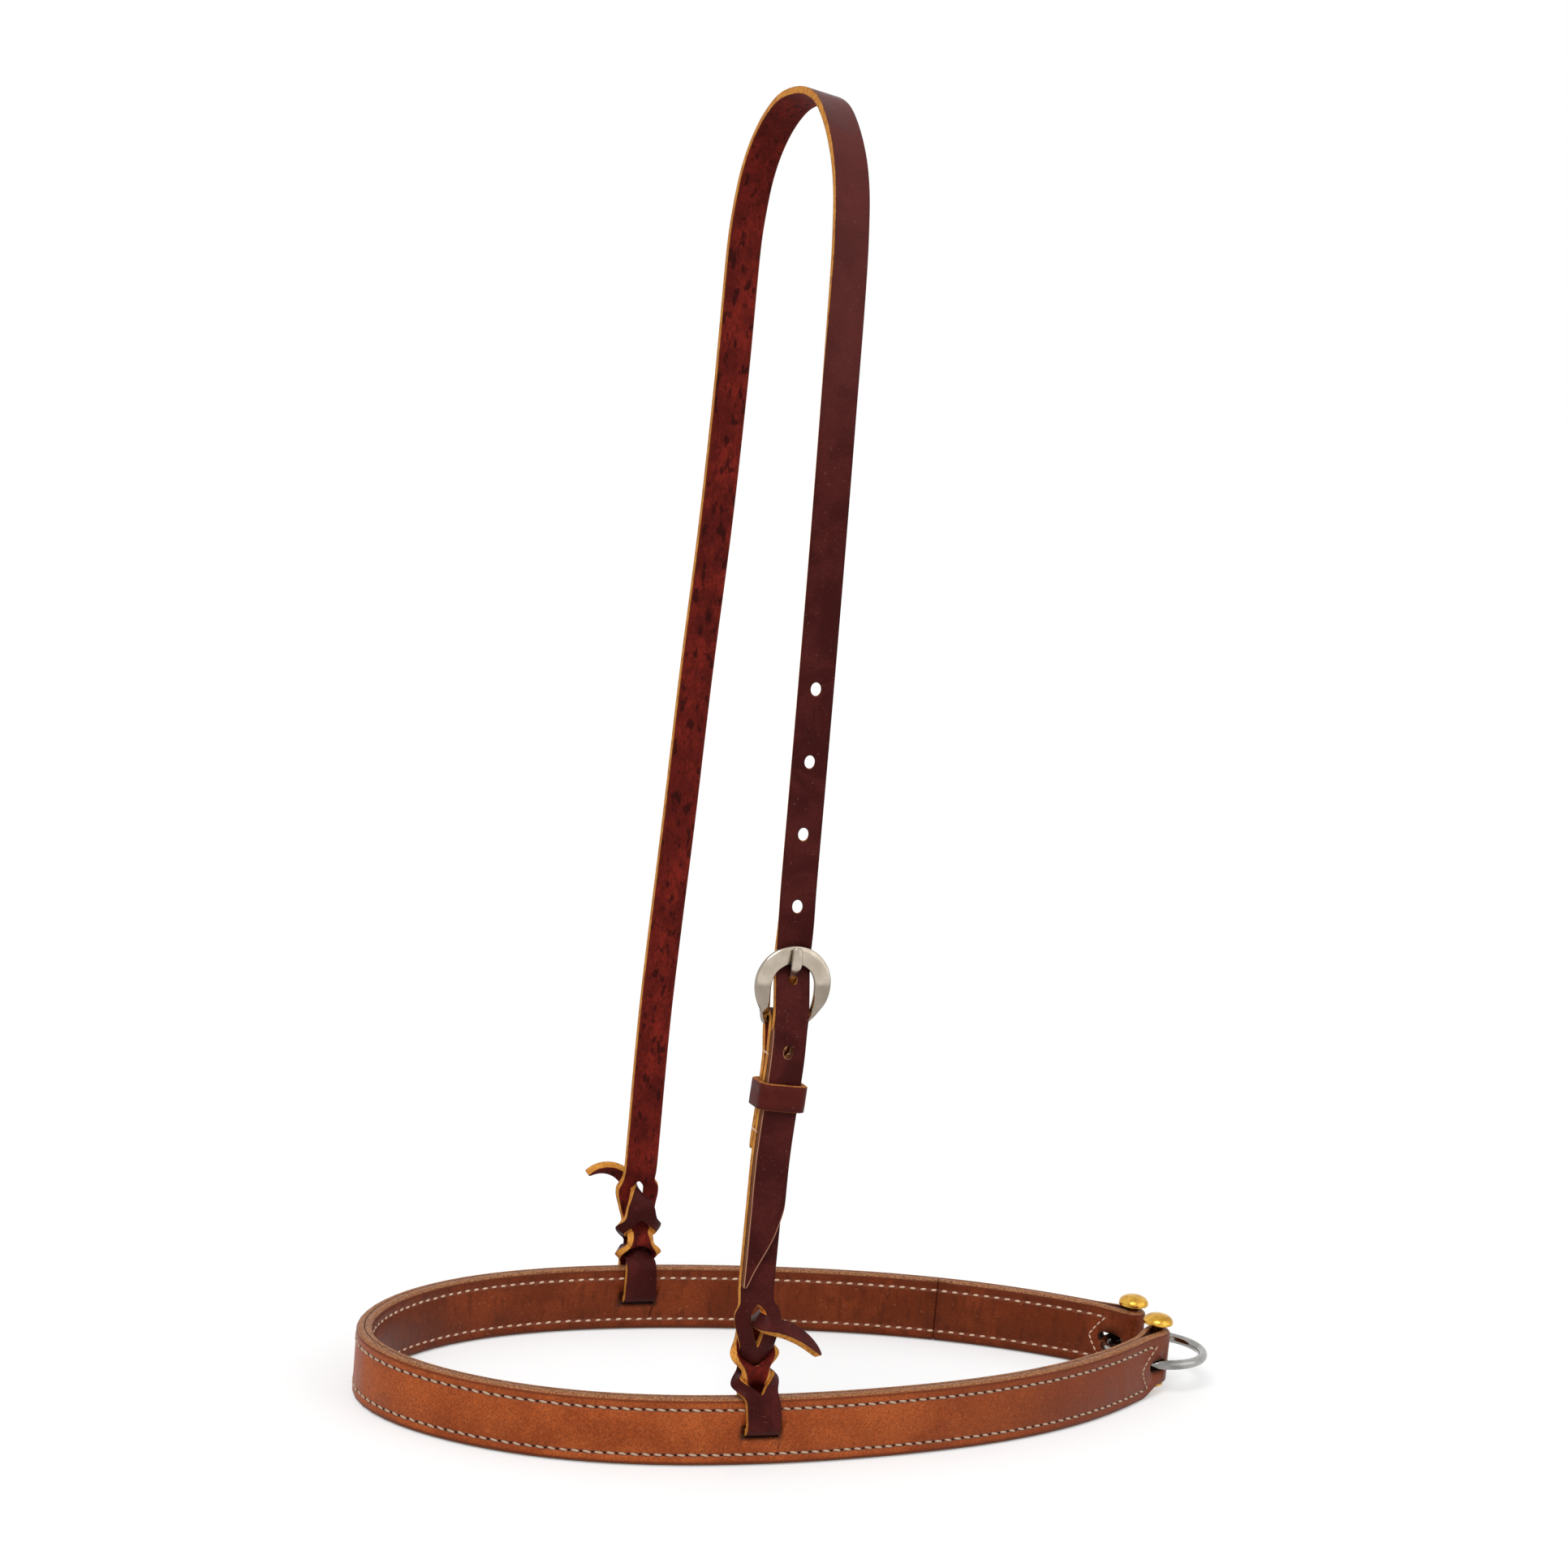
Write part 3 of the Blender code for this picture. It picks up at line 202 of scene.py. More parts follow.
def metalWear(tree, place, scale):
    # smudges and hairline scratches on polished metal
    drawn = stretched(tree, place, (14.0, 1.0, 1.0), (0.5, 0.3, 0.7))
    return {"Smudge": remap(tree, noise(tree, place, scale, 4.0, 0.6), 0.35, 0.7),
            "Scratch": remap(tree, noise(tree, drawn, scale, 2.0), 0.6, 0.68)}


def makeGroup(build, *numbers):
    group = bpy.data.node_groups.new(build.__name__, 'ShaderNodeTree')
    group.interface.new_socket("Vector", in_out='INPUT', socket_type='NodeSocketVector')
    for label in numbers:
        group.interface.new_socket(label, in_out='INPUT', socket_type='NodeSocketFloat')
    source = group.nodes.new('NodeGroupInput').outputs
    results = build(group, *(source[label] for label in ("Vector", *numbers)))
    for label in results:
        group.interface.new_socket(label, in_out='OUTPUT', socket_type='NodeSocketFloat')
    feed(group, group.nodes.new('NodeGroupOutput'), results)
    return group


grainGroup = makeGroup(hideGrain, "Cells", "Clouds", "Specks")
fibreGroup = makeGroup(cutFibre, "Scale")
wearGroup = makeGroup(metalWear, "Scale")


def useGroup(tree, group, **inputs):
    return addNode(tree, 'ShaderNodeGroup', inputs, node_tree=group)


def useGrain(tree, place, look):
    return useGroup(tree, grainGroup, Vector=place, Cells=look["cells"], Clouds=look["clouds"],
                    Specks=look["specks"])


def newMaterial(name):
    mat = bpy.data.materials.new(name)
    mat.use_nodes = True
    return mat, mat.node_tree, addNode(mat.node_tree, 'ShaderNodeTexCoord', {})["Object"]


def finishSurface(tree, look, base, rough, height, deep):
    # colour, roughness and relief; oiled leather has a faint gloss that takes the colour of the dye
    shader = tree.nodes["Principled BSDF"]
    normal = addNode(tree, 'ShaderNodeBump', {"Height": height, "Strength": look["bump"],
                                              "Distance": deep * mm})[0]
    feed(tree, shader, {"Base Color": base, "Roughness": rough, "Normal": normal})
    if "shine" in look:
        feed(tree, shader, {"Specular IOR Level": look["shine"], "Specular Tint": (*look["tint"], 1.0)})
    else:
        feed(tree, shader, {"Metallic": 1.0})


def paint(tree, look, base, **masks):
    # colours of the look laid over a base, one after the other, each by its mask
    for word, mask in masks.items():
        base = mixColor(tree, mask, base, look[word])
    return base


def shadeEdge(tree, base, look, mask=0.0, share=0.0):
    # a line of another colour along the rims, its border made ragged by a share of a mask
    if "edgeColor" not in look:
        return base
    edge = maths(tree, 'ADD', attribute(tree, "edgeMm"), times(tree, mask, look["edgeWidth"] * share))
    mask = remap(tree, edge, look["edgeWidth"], 0.0, 0.0, look["edgeShare"])
    return paint(tree, look, base, edgeColor=mask)


def grainLeather(name, look):
    # grain side: clouded colour, pale specks, darker rims, some of them raw, and a painted highlight higher
    # up
    mat, tree, place = newMaterial(name)
    grain = useGrain(tree, place, look)
    base = mixColor(tree, grain["Cloud"], look["dark"], look["light"])
    base = paint(tree, look, base, deep=times(tree, grain["Fine"], look["fine"]),
                 speck=times(tree, grain["Speck"], look["speckShare"]))
    base = shadeEdge(tree, base, look, grain["Fine"], 0.5)
    raw = remap(tree, attribute(tree, "edgeMm"), look["rawWidth"], 0.0)
    base = paint(tree, look, base, rawColor=times(tree, raw, attribute(tree, "rawEdge")))
    # painted highlight: a lighter colour from a height upwards, towards the crown
    if "worn" in look:
        base = paint(tree, look, base, worn=remap(tree, axes(tree, place)[2], look["wornFrom"] * mm,
                                                  look["wornTo"] * mm, 0.0, look["wornShare"]))
    rough = remap(tree, grain["Cloud"], 0.0, 1.0, *look["rough"])
    finishSurface(tree, look, base, rough, grain["Height"], 0.15)
    return mat


def fibreLeather(name, look):
    # cut edge or flesh side
    mat, tree, place = newMaterial(name)
    drawn = stretched(tree, place, look["stretch"])
    fibre = useGroup(tree, fibreGroup, Vector=drawn, Scale=look["scale"])
    base = mixColor(tree, fibre["Tone"], look["dark"], look["light"])
    tone = remap(tree, noise(tree, place, look["clouds"], 4.0, 0.6), 0.38, 0.62)
    spots = remap(tree, noise(tree, drawn, look["spots"], 2.0), 0.56, 0.66, 0.0, look["spotShare"])
    base = paint(tree, look, base, patch=times(tree, tone, look["patchShare"]), spot=spots)
    base = shadeEdge(tree, base, look, fibre["Tone"], 0.6)
    # painted shade on the cut edge of the strap's tail below the buckle
    if "dyed" in look:
        base = paint(tree, look, base, dyed=times(tree, attribute(tree, "dyedEdge"), look["dyedShare"]))
    finishSurface(tree, look, base, look["rough"], fibre["Height"], 0.3)
    return mat


def polishedMetal(name, look):
    mat, tree, place = newMaterial(name)
    wear = useGroup(tree, wearGroup, Vector=place, Scale=look["scale"])
    # where the look has an edge colour the rims are darker: on the nickel, a painted dark reflection
    base = shadeEdge(tree, mixColor(tree, wear["Smudge"], look["bright"], look["dull"]), look)
    rough = maths(tree, 'ADD', remap(tree, wear["Smudge"], 0.0, 1.0, *look["rough"]),
                  times(tree, wear["Scratch"], look["scratch"]))
    finishSurface(tree, look, base, rough, wear["Smudge"], 0.05)
    return mat


oiled = {"fine": 0.6, "speckShare": 0.35, "cells": 1500.0, "edgeWidth": 0.9, "edgeShare": 0.5,
         "rawColor": (0.55, 0.26, 0.16), "bump": 0.4, "shine": 0.12, "tint": (1.0, 0.42, 0.36)}
strapLooks = {
    "grain": {**oiled, "dark": (0.040, 0.0060, 0.0055), "light": (0.082, 0.0140, 0.0120),
              "deep": (0.022, 0.0040, 0.0040), "speck": (0.20, 0.075, 0.060), "clouds": 60.0,
              "specks": 900.0, "edgeColor": (0.020, 0.004, 0.004), "rawWidth": 0.45,
              # a painted highlight on the straps, lighter from 350 mm up towards the crown
              "rough": (0.38, 0.52), "worn": (0.150, 0.042, 0.037), "wornFrom": 350.0, "wornTo": 420.0,
              "wornShare": 0.3},
    "keeper": {**oiled, "dark": (0.090, 0.0120, 0.0090), "light": (0.135, 0.0190, 0.0135),
               "deep": (0.045, 0.007, 0.006), "speck": (0.22, 0.085, 0.065), "clouds": 120.0,
               "specks": 700.0, "edgeColor": (0.04, 0.008, 0.007), "rawWidth": 0.5,
               "rough": (0.42, 0.55)},
    "flesh": {"dark": (0.075, 0.0085, 0.0065), "light": (0.195, 0.018, 0.0120),
              "patch": (0.060, 0.007, 0.006), "patchShare": 0.6, "spot": (0.018, 0.004, 0.004),
              "spotShare": 0.75, "spots": 420.0, "scale": 800.0, "clouds": 75.0,
              "stretch": (1.0, 1.0, 0.45), "edgeWidth": 0.8, "edgeShare": 0.3,
              "edgeColor": (0.25, 0.06, 0.02), "rough": 0.72, "bump": 0.6, "shine": 0.08,
              "tint": (1.0, 0.4, 0.3)},
    "cut": {"dark": (0.52, 0.19, 0.030), "light": (0.78, 0.36, 0.070), "patch": (0.38, 0.12, 0.025),
            "patchShare": 0.35, "spot": (0.20, 0.055, 0.015), "spotShare": 0.5, "spots": 700.0,
            "scale": 1300.0, "clouds": 260.0, "stretch": (1.0, 1.0, 0.5), "edgeWidth": 0.6,
            "edgeShare": 0.75, "edgeColor": (0.16, 0.035, 0.018), "rough": 0.7, "bump": 0.5,
            # its last colour and share: painted shade on the tail's cut edge below the buckle
            "shine": 0.1, "tint": (1.0, 0.7, 0.4), "dyed": (0.060, 0.012, 0.009), "dyedShare": 0.85},
}
strapGrain = grainLeather("latigoGrain", strapLooks["grain"])
strapFlesh = fibreLeather("latigoFlesh", strapLooks["flesh"])
strapCut = fibreLeather("latigoCutEdge", strapLooks["cut"])
keeperGrain = grainLeather("keeperGrain", strapLooks["keeper"])
print("leather materials made")


# The band: both plies from their CAD shapes, with a sunk line along each row of stitches

band = {
    "rowLow": 4.3, "rowHigh": 21.1, "pitch": 4.25,           # heights of the rows of stitches, their step
    "grooveWidth": 1.9, "grooveDepth": 0.35, "middle": 12.7,
    "slotLow": 10.0, "slotHigh": 15.4, "slotReach": 8.4,     # where the walls of the slots are found
    "slotFrom": 6.0, "slotEnds": (-6.43, 6.78), "slotCorner": 1.5, "slotSquare": 0.4, "slotLift": 0.42,
    "ringFrom": 118.0, "ringFit": 0.87,                      # the ring's slots closed up on its wire
}
jointAt = {joint["name"]: Vector(joint["pos_m"]) / mm for joint in frame["joints"] if "pos_m" in joint}
slotMiddle = jointAt["hanger_swing"].copy()
slotMiddle.z = 0.0


def sideFaces(bm):
    # material 0 on the rounded, outward side of a ply, 1 on the flat side that is glued, 2 on its edges
    for index, region in enumerate(faceRegions(bm, math.radians(52))):
        for face in region:
            face.material_index = min(index, 2)


def chainAt(node, height):
    # the ply's outward face cut at a height, as one line of points from end to end
    bm = nodeMesh(node)
    sideFaces(bm)
    links = {}
    for item in cutAt(bm, height):
        if isinstance(item, bmesh.types.BMEdge) and any(f.material_index == 0 for f in item.link_faces):
            a, b = item.verts
            links.setdefault(a, []).append(b)
            links.setdefault(b, []).append(a)
    ends = [v for v, others in links.items() if len(others) == 1]
    path = [min(ends, key=lambda v: v.co.y)]
    while len(path) < 2 or path[-1] not in ends:
        path.append(next(v for v in links[path[-1]] if v not in path[-2:-1]))
    chain = [v.co.copy() for v in path]
    bm.free()
    return chain


def pathLengths(points):
    lengths = [0.0]
    for a, b in zip(points, points[1:]):
        lengths.append(lengths[-1] + (b - a).length)
    return lengths


def spotAt(lengths, distance):
    # the piece of a line that holds a distance, and the share of the piece it lies at
    distance = max(0.0, min(lengths[-1], distance))
    k = next(i for i in range(1, len(lengths)) if lengths[i] >= distance)
    return k, (distance - lengths[k - 1]) / max(1e-9, lengths[k] - lengths[k - 1])


def boxMiddle(name):
    low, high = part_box(name)
    return (low + high) / 2


pins = {-1: boxMiddle("near_rivet"), 1: boxMiddle("far_rivet")}
plyChain = chainAt("noseband_outer_ply", band["rowHigh"])
foldNear, foldFar = (max((i for i, p in enumerate(plyChain) if p.y * side > 0), key=lambda i: plyChain[i].x)
                     for side in (-1, 1))
quarterFold = (plyChain[foldNear].xy - pins[-1].xy).length * math.pi / 2


def faceLine(points, first, last, flip):
    # a face's line of points, sewn from a quarter fold past the first point to one before the last
    lengths = pathLengths([point.xy for point in points])
    start, end = lengths[first] + quarterFold, lengths[last] - quarterFold
    pitch = (end - start) / round((end - start) / (band["pitch"] * mm))
    return {"points": points, "lengths": lengths, "start": start, "end": end, "pitch": pitch, "flip": flip}


# The inner face runs along the near folded-back end, the lining and the far folded-back end.
outerFaceLine = faceLine(plyChain, foldNear, foldFar, -1)
innerFaceLine = faceLine(plyChain[foldNear::-1] + chainAt("noseband_lining", band["rowHigh"])
                         + plyChain[:foldFar - 1:-1], 0, -1, 1)
print("faces of the band traced:",
      *(round((line["end"] - line["start"]) / mm) for line in (outerFaceLine, innerFaceLine)), "mm")

bandLook = {
    "outerLight": (0.490, 0.112, 0.027), "outerDark": (0.330, 0.064, 0.015),
    "outerRed": (0.170, 0.032, 0.012),
    "innerLight": (0.250, 0.048, 0.0145), "innerDark": (0.150, 0.027, 0.0085), "deep": (0.085, 0.016, 0.006),
    "pale": (0.60, 0.18, 0.055), "paleShare": 0.22, "fineShare": 0.62, "streak": (0.070, 0.013, 0.006),
    "streakShare": 0.5, "streaks": 420.0, "upright": (1.0, 1.0, 0.42), "redFrom": -0.03, "redTo": 0.13,
    "redShare": 0.8, "rimLight": (0.430, 0.195, 0.090), "rimDark": (0.125, 0.040, 0.016),
    # painted shade: in the sunk lines of stitches, along the lower edge and in the awl holes between
    # stitches
    "groove": (0.200, 0.060, 0.035), "grooveMm": (0.95, 0.45), "grooveShare": 0.75,
    "line": (0.090, 0.020, 0.009), "lineShare": 0.75, "underside": (0.060, 0.018, 0.009),
    "underMm": (1.4, 0.3), "underShare": 0.8, "hole": (0.012, 0.005, 0.004), "holeAlong": (0.17, 0.09),
    "holeMm": (0.5, 0.3), "burn": (0.020, 0.007, 0.005), "speck": (0.45, 0.17, 0.075), "speckShare": 0.25,
    "cells": 1100.0, "clouds": 38.0, "specks": 620.0, "rough": (0.38, 0.52), "rimRough": 0.12,
    "bump": 0.35, "shine": 0.18, "tint": (1.0, 0.6, 0.42),
    "slots": (((slotMiddle.x * mm, 0.075, 0.0127), (0.0072, 0.012, 0.0019), 0.0019),
              ((0.1405, 0.0165, 0.0127), (0.0035, 0.0045, 0.0022), 0.0016)),   # middle, half size, fade
}


def slotMask(tree, place, centre, half, width):
    # 1 at the walls of a slot, fading out over a width; mirrored across the middle plane
    x, y, z = axes(tree, place)
    total = 0.0
    for value, middle, reach in zip((x, maths(tree, 'ABSOLUTE', y), z), centre, half):
        past = maths(tree, 'MAXIMUM', maths(tree, 'SUBTRACT', apart(tree, value, middle), reach), 0.0)
        total = maths(tree, 'ADD', times(tree, past, past), total)
    return remap(tree, maths(tree, 'SQRT', total), width, 0.0)


def bandLeather(name, look):
    mat, tree, place = newMaterial(name)
    inside, rim, sewn, phase = (attribute(tree, word) for word in ("inside", "rim", "sewn", "phase"))
    grain = useGrain(tree, place, look)
    x, _, height = axes(tree, place)
    outside = maths(tree, 'SUBTRACT', 1.0, inside)
    # outer face, redder towards the pins, and inner face, streaked
    red = remap(tree, x, look["redFrom"], look["redTo"], 0.0, look["redShare"])
    streak = noise(tree, stretched(tree, place, look["upright"]), look["streaks"], 3.0)
    streak = remap(tree, streak, 0.50, 0.68, 0.0, look["streakShare"])
    outer = mixColor(tree, grain["Cloud"], look["outerDark"], look["outerLight"])
    inner = mixColor(tree, grain["Cloud"], look["innerDark"], look["innerLight"])
    base = mixColor(tree, inside, paint(tree, look, outer, outerRed=red),
                    paint(tree, look, inner, streak=streak))
    # grain, pale pebbles where the outer face isn't red, and a dark line beside the cut rim
    plain = maths(tree, 'SUBTRACT', 1.0, maths(tree, 'MAXIMUM', inside, red))
    line = remap(tree, rim, 0.06, 0.25, 0.0, look["lineShare"])
    base = paint(tree, look, base, deep=times(tree, grain["Fine"], look["fineShare"]),
                 pale=times(tree, remap(tree, grain["Height"], 0.70, 1.0, 0.0, look["paleShare"]), plain),
                 speck=times(tree, grain["Speck"], look["speckShare"]),
                 line=times(tree, line, remap(tree, rim, 0.62, 0.35)))
    rimColor = mixColor(tree, grain["Fine"], look["rimLight"], look["rimDark"])
    base = mixColor(tree, remap(tree, rim, 0.38, 0.7), base, rimColor)
    # painted shade along the lower edge, painted shade in the sunk line of each row of stitches, and painted
    # shade in the awl holes between two stitches outside
    rowGap = maths(tree, 'MINIMUM', *(apart(tree, height, band[row] * mm) for row in ("rowLow", "rowHigh")))
    nearRow, inHole = (remap(tree, rowGap, *(edge * mm for edge in look[word]))
                       for word in ("grooveMm", "holeMm"))
    # painted shade in the awl holes, halfway between two stitches
    fromHole = remap(tree, apart(tree, maths(tree, 'FRACT', phase), 0.5), *look["holeAlong"])
    under = remap(tree, height, *(edge * mm for edge in look["underMm"]), 0.0, look["underShare"])
    base = paint(tree, look, base, underside=under,
                 groove=times(tree, times(tree, nearRow, sewn), look["grooveShare"]),
                 hole=times(tree, times(tree, fromHole, inHole), times(tree, sewn, outside)))
    # darker at the walls of the slots, fading out round them, unevenly by the grain
    charred = remap(tree, grain["Fine"], 0.0, 1.0, 0.7, 1.0)
    for slot in look["slots"]:
        base = paint(tree, look, base, burn=times(tree, slotMask(tree, place, *slot), charred))
    rough = maths(tree, 'ADD', remap(tree, grain["Cloud"], 0.0, 1.0, *look["rough"]),
                  times(tree, rim, look["rimRough"]))
    finishSurface(tree, look, base, rough, grain["Height"], 0.15)
    return mat


bandBack = {"patchShare": 0.5, "stretch": (1.0, 1.0, 1.0), "shine": 0.1, "tint": (1.0, 0.7, 0.5)}
bandGrain = bandLeather("harnessGrain", bandLook)
bandFlesh = fibreLeather("harnessFlesh", {
    **bandBack, "dark": (0.060, 0.020, 0.012), "light": (0.110, 0.040, 0.020),
    "patch": (0.030, 0.010, 0.008), "spot": (0.02, 0.008, 0.006), "spotShare": 0.3, "spots": 500.0,
    "scale": 900.0, "clouds": 200.0, "rough": 0.8, "bump": 0.4})
bandCut = fibreLeather("harnessCut", {
    **bandBack, "dark": (0.030, 0.012, 0.009), "light": (0.075, 0.028, 0.016),
    "patch": (0.015, 0.006, 0.005), "spot": (0.012, 0.005, 0.004), "spotShare": 0.4, "spots": 900.0,
    "scale": 1500.0, "clouds": 400.0, "rough": 0.75, "bump": 0.5})

# Ends of the rows, back from the pin, on the outer face and on the inner face
tails = {"outer": {"top": 4.0, "notch": 13.8, "bottom": 8.5},
         "inner": {"top": 14.0, "notch": 20.6, "bottom": 15.2}}


def nearestOn(line, place):
    # distance along a line of its nearest point to a place, seen from above
    points, lengths = line["points"], line["lengths"]
    best, found = 1e9, 0.0
    for i in range(len(points) - 1):
        a, b = points[i].xy, points[i + 1].xy
        span = (b - a).length_squared
        share = max(0.0, min(1.0, (place.xy - a).dot(b - a) / span)) if span else 0.0
        gap = (a.lerp(b, share) - place.xy).length_squared
        if gap < best:
            best, found = gap, lengths[i] + share * (lengths[i + 1] - lengths[i])
    return found


def atSlotHeight(vert):
    return band["slotLow"] < vert.co.z / mm < band["slotHigh"]


def inStrapSlot(vert):
    return abs(vert.co.x / mm - slotMiddle.x) < band["slotReach"] and atSlotHeight(vert)


def inRingSlot(vert):
    return vert.co.x / mm > band["ringFrom"] and atSlotHeight(vert)


def fitSlots(bm):
    # close the slots up on the straps and on the ring's wire
    for vert in bm.verts:
        rise = vert.co.z / mm - band["middle"]
        if inRingSlot(vert):
            vert.co.z = (band["middle"] + rise * band["ringFit"]) * mm
        if inStrapSlot(vert):
            off = vert.co.x / mm - slotMiddle.x
            if abs(off) > band["slotFrom"]:
                vert.co.x = (slotMiddle.x + band["slotEnds"][off > 0]) * mm
                if abs(rise) > band["slotCorner"]:
                    vert.co.z += math.copysign(band["slotSquare"], rise) * mm
            if rise < 0:
                vert.co.z += band["slotLift"] * mm


def plyPiece(name, node):
    bm = nodeMesh(node)
    sideFaces(bm)
    fitSlots(bm)
    rows = (band["rowLow"], band["rowHigh"])
    half = band["grooveWidth"] / 2
    inHalf = half * 0.45
    for row in rows:
        for offset in (-half, -inHalf, 0.0, inHalf, half):
            cutAt(bm, row + offset)
    bm.normal_update()
    rim, inside, phase, sewn, _ = (bm.verts.layers.float.new(word)
                                   for word in ("rim", "inside", "phase", "sewn", "edgeMm"))
    folds = [outerFaceLine["lengths"][i] for i in (foldNear, foldFar)]
    for vert in bm.verts:
        vert[rim] = 0.0 if inStrapSlot(vert) or inRingSlot(vert) else abs(vert.normal.z)
        if node == "noseband_lining":
            vert[inside] = 1.0
            vert[sewn] = 1.0
            continue
        s = nearestOn(outerFaceLine, vert.co)
        vert[phase] = (s - outerFaceLine["start"]) / outerFaceLine["pitch"]
        fromFold = min(s - folds[0], folds[1] - s)
        vert[inside] = 1.0 - ease(0.5 + fromFold / (2 * quarterFold))
        tail = tails["outer" if fromFold > 0 else "inner"]
        limit = tail["top" if vert.co.z > band["middle"] * mm else "bottom"]
        vert[sewn] = ease((abs(fromFold) - quarterFold) / mm - limit + 1.0)
    sunk = {}
    for vert in bm.verts:
        for row in rows:
            off = abs(vert.co.z / mm - row)
            faces = [f for f in vert.link_faces if f.material_index == 0 and abs(f.normal.z) < 0.2]
            if off < half * 0.6 and faces and len(faces) == len(vert.link_faces):
                outward = sum((f.normal for f in faces), Vector()).normalized()
                depth = band["grooveDepth"] * (1.0 - 0.35 * (off / inHalf) ** 2)
                sunk[vert] = outward * (-depth * mm * vert[sewn])
    for vert, move in sunk.items():
        vert.co += move
    addPiece(name, bm, [bandGrain, bandFlesh, bandCut], "noseband", (node,))


plyPiece("noseband_outer_leather", "noseband_outer_ply")
plyPiece("noseband_lining_leather", "noseband_lining")
print("band dressed")


# Thread: one mesh of many short stitches along a line on a face

stitch = {
    "threadOut": ((0.36, 0.245, 0.165), (0.56, 0.42, 0.30)),
    "threadIn": ((0.52, 0.33, 0.22), (0.78, 0.55, 0.39)),
    "outer": {"length": 3.1, "proud": -0.14, "slant": 10.0},
    "inner": {"length": 2.4, "proud": -0.05, "slant": 5.0},
    "width": 0.98, "thick": 0.9, "clear": 1.2,      # room between the rows and the swallow tail's corners
    "tailPitch": 2.6, "tailSag": 0.5, "tailProud": 0.05, "tailLength": 0.8, "tailWidth": 0.75,
    "tailThick": 0.7,
}


def threadMaterial(name, dark, light):
    mat, tree, place = newMaterial(name)
    twist = noise(tree, place, 3600.0, 1.0)
    base = mixColor(tree, remap(tree, twist, 0.35, 0.65), dark, light)
    finishSurface(tree, {"bump": 0.3, "shine": 0.25, "tint": (1.0, 1.0, 1.0)}, base, 0.75, twist, 0.2)
    return mat


def makeStitchShape():
    # a grain of rice, one unit long, wide and thick each way from its middle
    bm = bmesh.new()
    bmesh.ops.create_uvsphere(bm, u_segments=8, v_segments=6, radius=1.0,
                              matrix=Matrix.Rotation(math.pi / 2, 4, 'Y'))
    return toMesh("stitchShape", bm)


stitchShape = makeStitchShape()
threadOut = threadMaterial("threadOuter", *stitch["threadOut"])
threadIn = threadMaterial("threadInner", *stitch["threadIn"])


def addStitch(stitches, middle, direction, outward, *size):
    # size: length, width and thickness
    up = outward.cross(direction).normalized()
    turn = Matrix((direction, up, outward)).transposed().to_4x4()
    stitches.append(Matrix.Translation(middle) @ turn @ Matrix.Diagonal((*(s / 2 for s in size), 1.0)))


def sewTogether(stitches):
    # the stitch shape at every place, joined a few at a time
    bm = bmesh.new()
    for first in range(0, len(stitches), 40):
        few = bmesh.new()
        for place in stitches[first:first + 40]:
            old = len(few.verts)
            few.from_mesh(stitchShape)
            few.verts.ensure_lookup_table()
            bmesh.ops.transform(few, matrix=place, verts=few.verts[old:])
        mesh = toMesh("someStitches", few)
        bm.from_mesh(mesh)
        bpy.data.meshes.remove(mesh)
    return bm


def faceFrame(line, distance, height):
    # place at a distance and height on a face, with the directions along it and out of it
    k, share = spotAt(line["lengths"], distance)
    a, b = line["points"][k - 1:k + 1]
    place = a.lerp(b, share)
    direction = (b - a).normalized()
    direction = Vector((direction.x, direction.y, 0.0)).normalized()
    outward = Vector((direction.y, -direction.x, 0.0)) * line["flip"]
    return Vector((place.x, place.y, height * mm)), direction, outward


def stitchRow(stitches, line, distances, height, look, draw):
    for distance in distances:
        slant = math.radians(look["slant"] + draw.uniform(-4.0, 4.0))
        place, direction, outward = faceFrame(line, distance, height + draw.uniform(-0.08, 0.08))
        run = direction * math.cos(slant) + Vector((0, 0, math.sin(slant)))
        addStitch(stitches, place + outward * look["proud"] * mm, run, outward,
                  look["length"] * draw.uniform(0.92, 1.06) * mm, stitch["width"] * mm, stitch["thick"] * mm)


def stitchTail(stitches, line, start, sign, tail):
    # the swallow tail that joins the two rows at an end
    corners = [(tail["top"], band["rowHigh"]), (tail["notch"], (band["rowHigh"] + band["rowLow"]) / 2),
               (tail["bottom"], band["rowLow"])]
    for (d0, z0), (d1, z1) in zip(corners, corners[1:]):
        span = math.hypot(d1 - d0, z1 - z0)
        count = max(2, round(span / stitch["tailPitch"]))
        for i in range(count):
            share = (i + 0.5) / count
            sag = math.sin(math.pi * share) * stitch["tailSag"]
            place, direction, outward = faceFrame(line, start + sign * (d0 + (d1 - d0) * share + sag) * mm,
                                                  z0 + (z1 - z0) * share)
            run = direction * sign * (d1 - d0) / span + Vector((0, 0, (z1 - z0) / span))
            addStitch(stitches, place + outward * stitch["tailProud"] * mm, run.normalized(), outward,
                      span / count * stitch["tailLength"] * mm, stitch["width"] * stitch["tailWidth"] * mm,
                      stitch["thick"] * stitch["tailThick"] * mm)


for face, line, thread in (("outer", outerFaceLine, threadOut), ("inner", innerFaceLine, threadIn)):
    stitches = []
    draw = random.Random(face + "_stitching")
    start, end, pitch, tail = line["start"], line["end"], line["pitch"], tails[face]
    for key, height in (("top", band["rowHigh"]), ("bottom", band["rowLow"])):
        clear = (tail[key] + stitch["clear"]) * mm
        row = (start + pitch * k for k in range(1, round((end - start) / pitch)))
        row = [distance for distance in row if start + clear < distance < end - clear]
        stitchRow(stitches, line, row, height, stitch[face], draw)
    stitchTail(stitches, line, start, 1, tail)
    stitchTail(stitches, line, end, -1, tail)
    addPiece(face + "_stitching", sewTogether(stitches), [thread], "noseband")
print("band stitched")


# Straps. A station is a cross-section: its middle, the direction of its width, the half width to each
# side, how far it is rolled (cup), and how far a slit stands open (gap) with its legs on edge (turn).
# Stations are in millimetres from a point between the strap slots, at the band's lower edge.

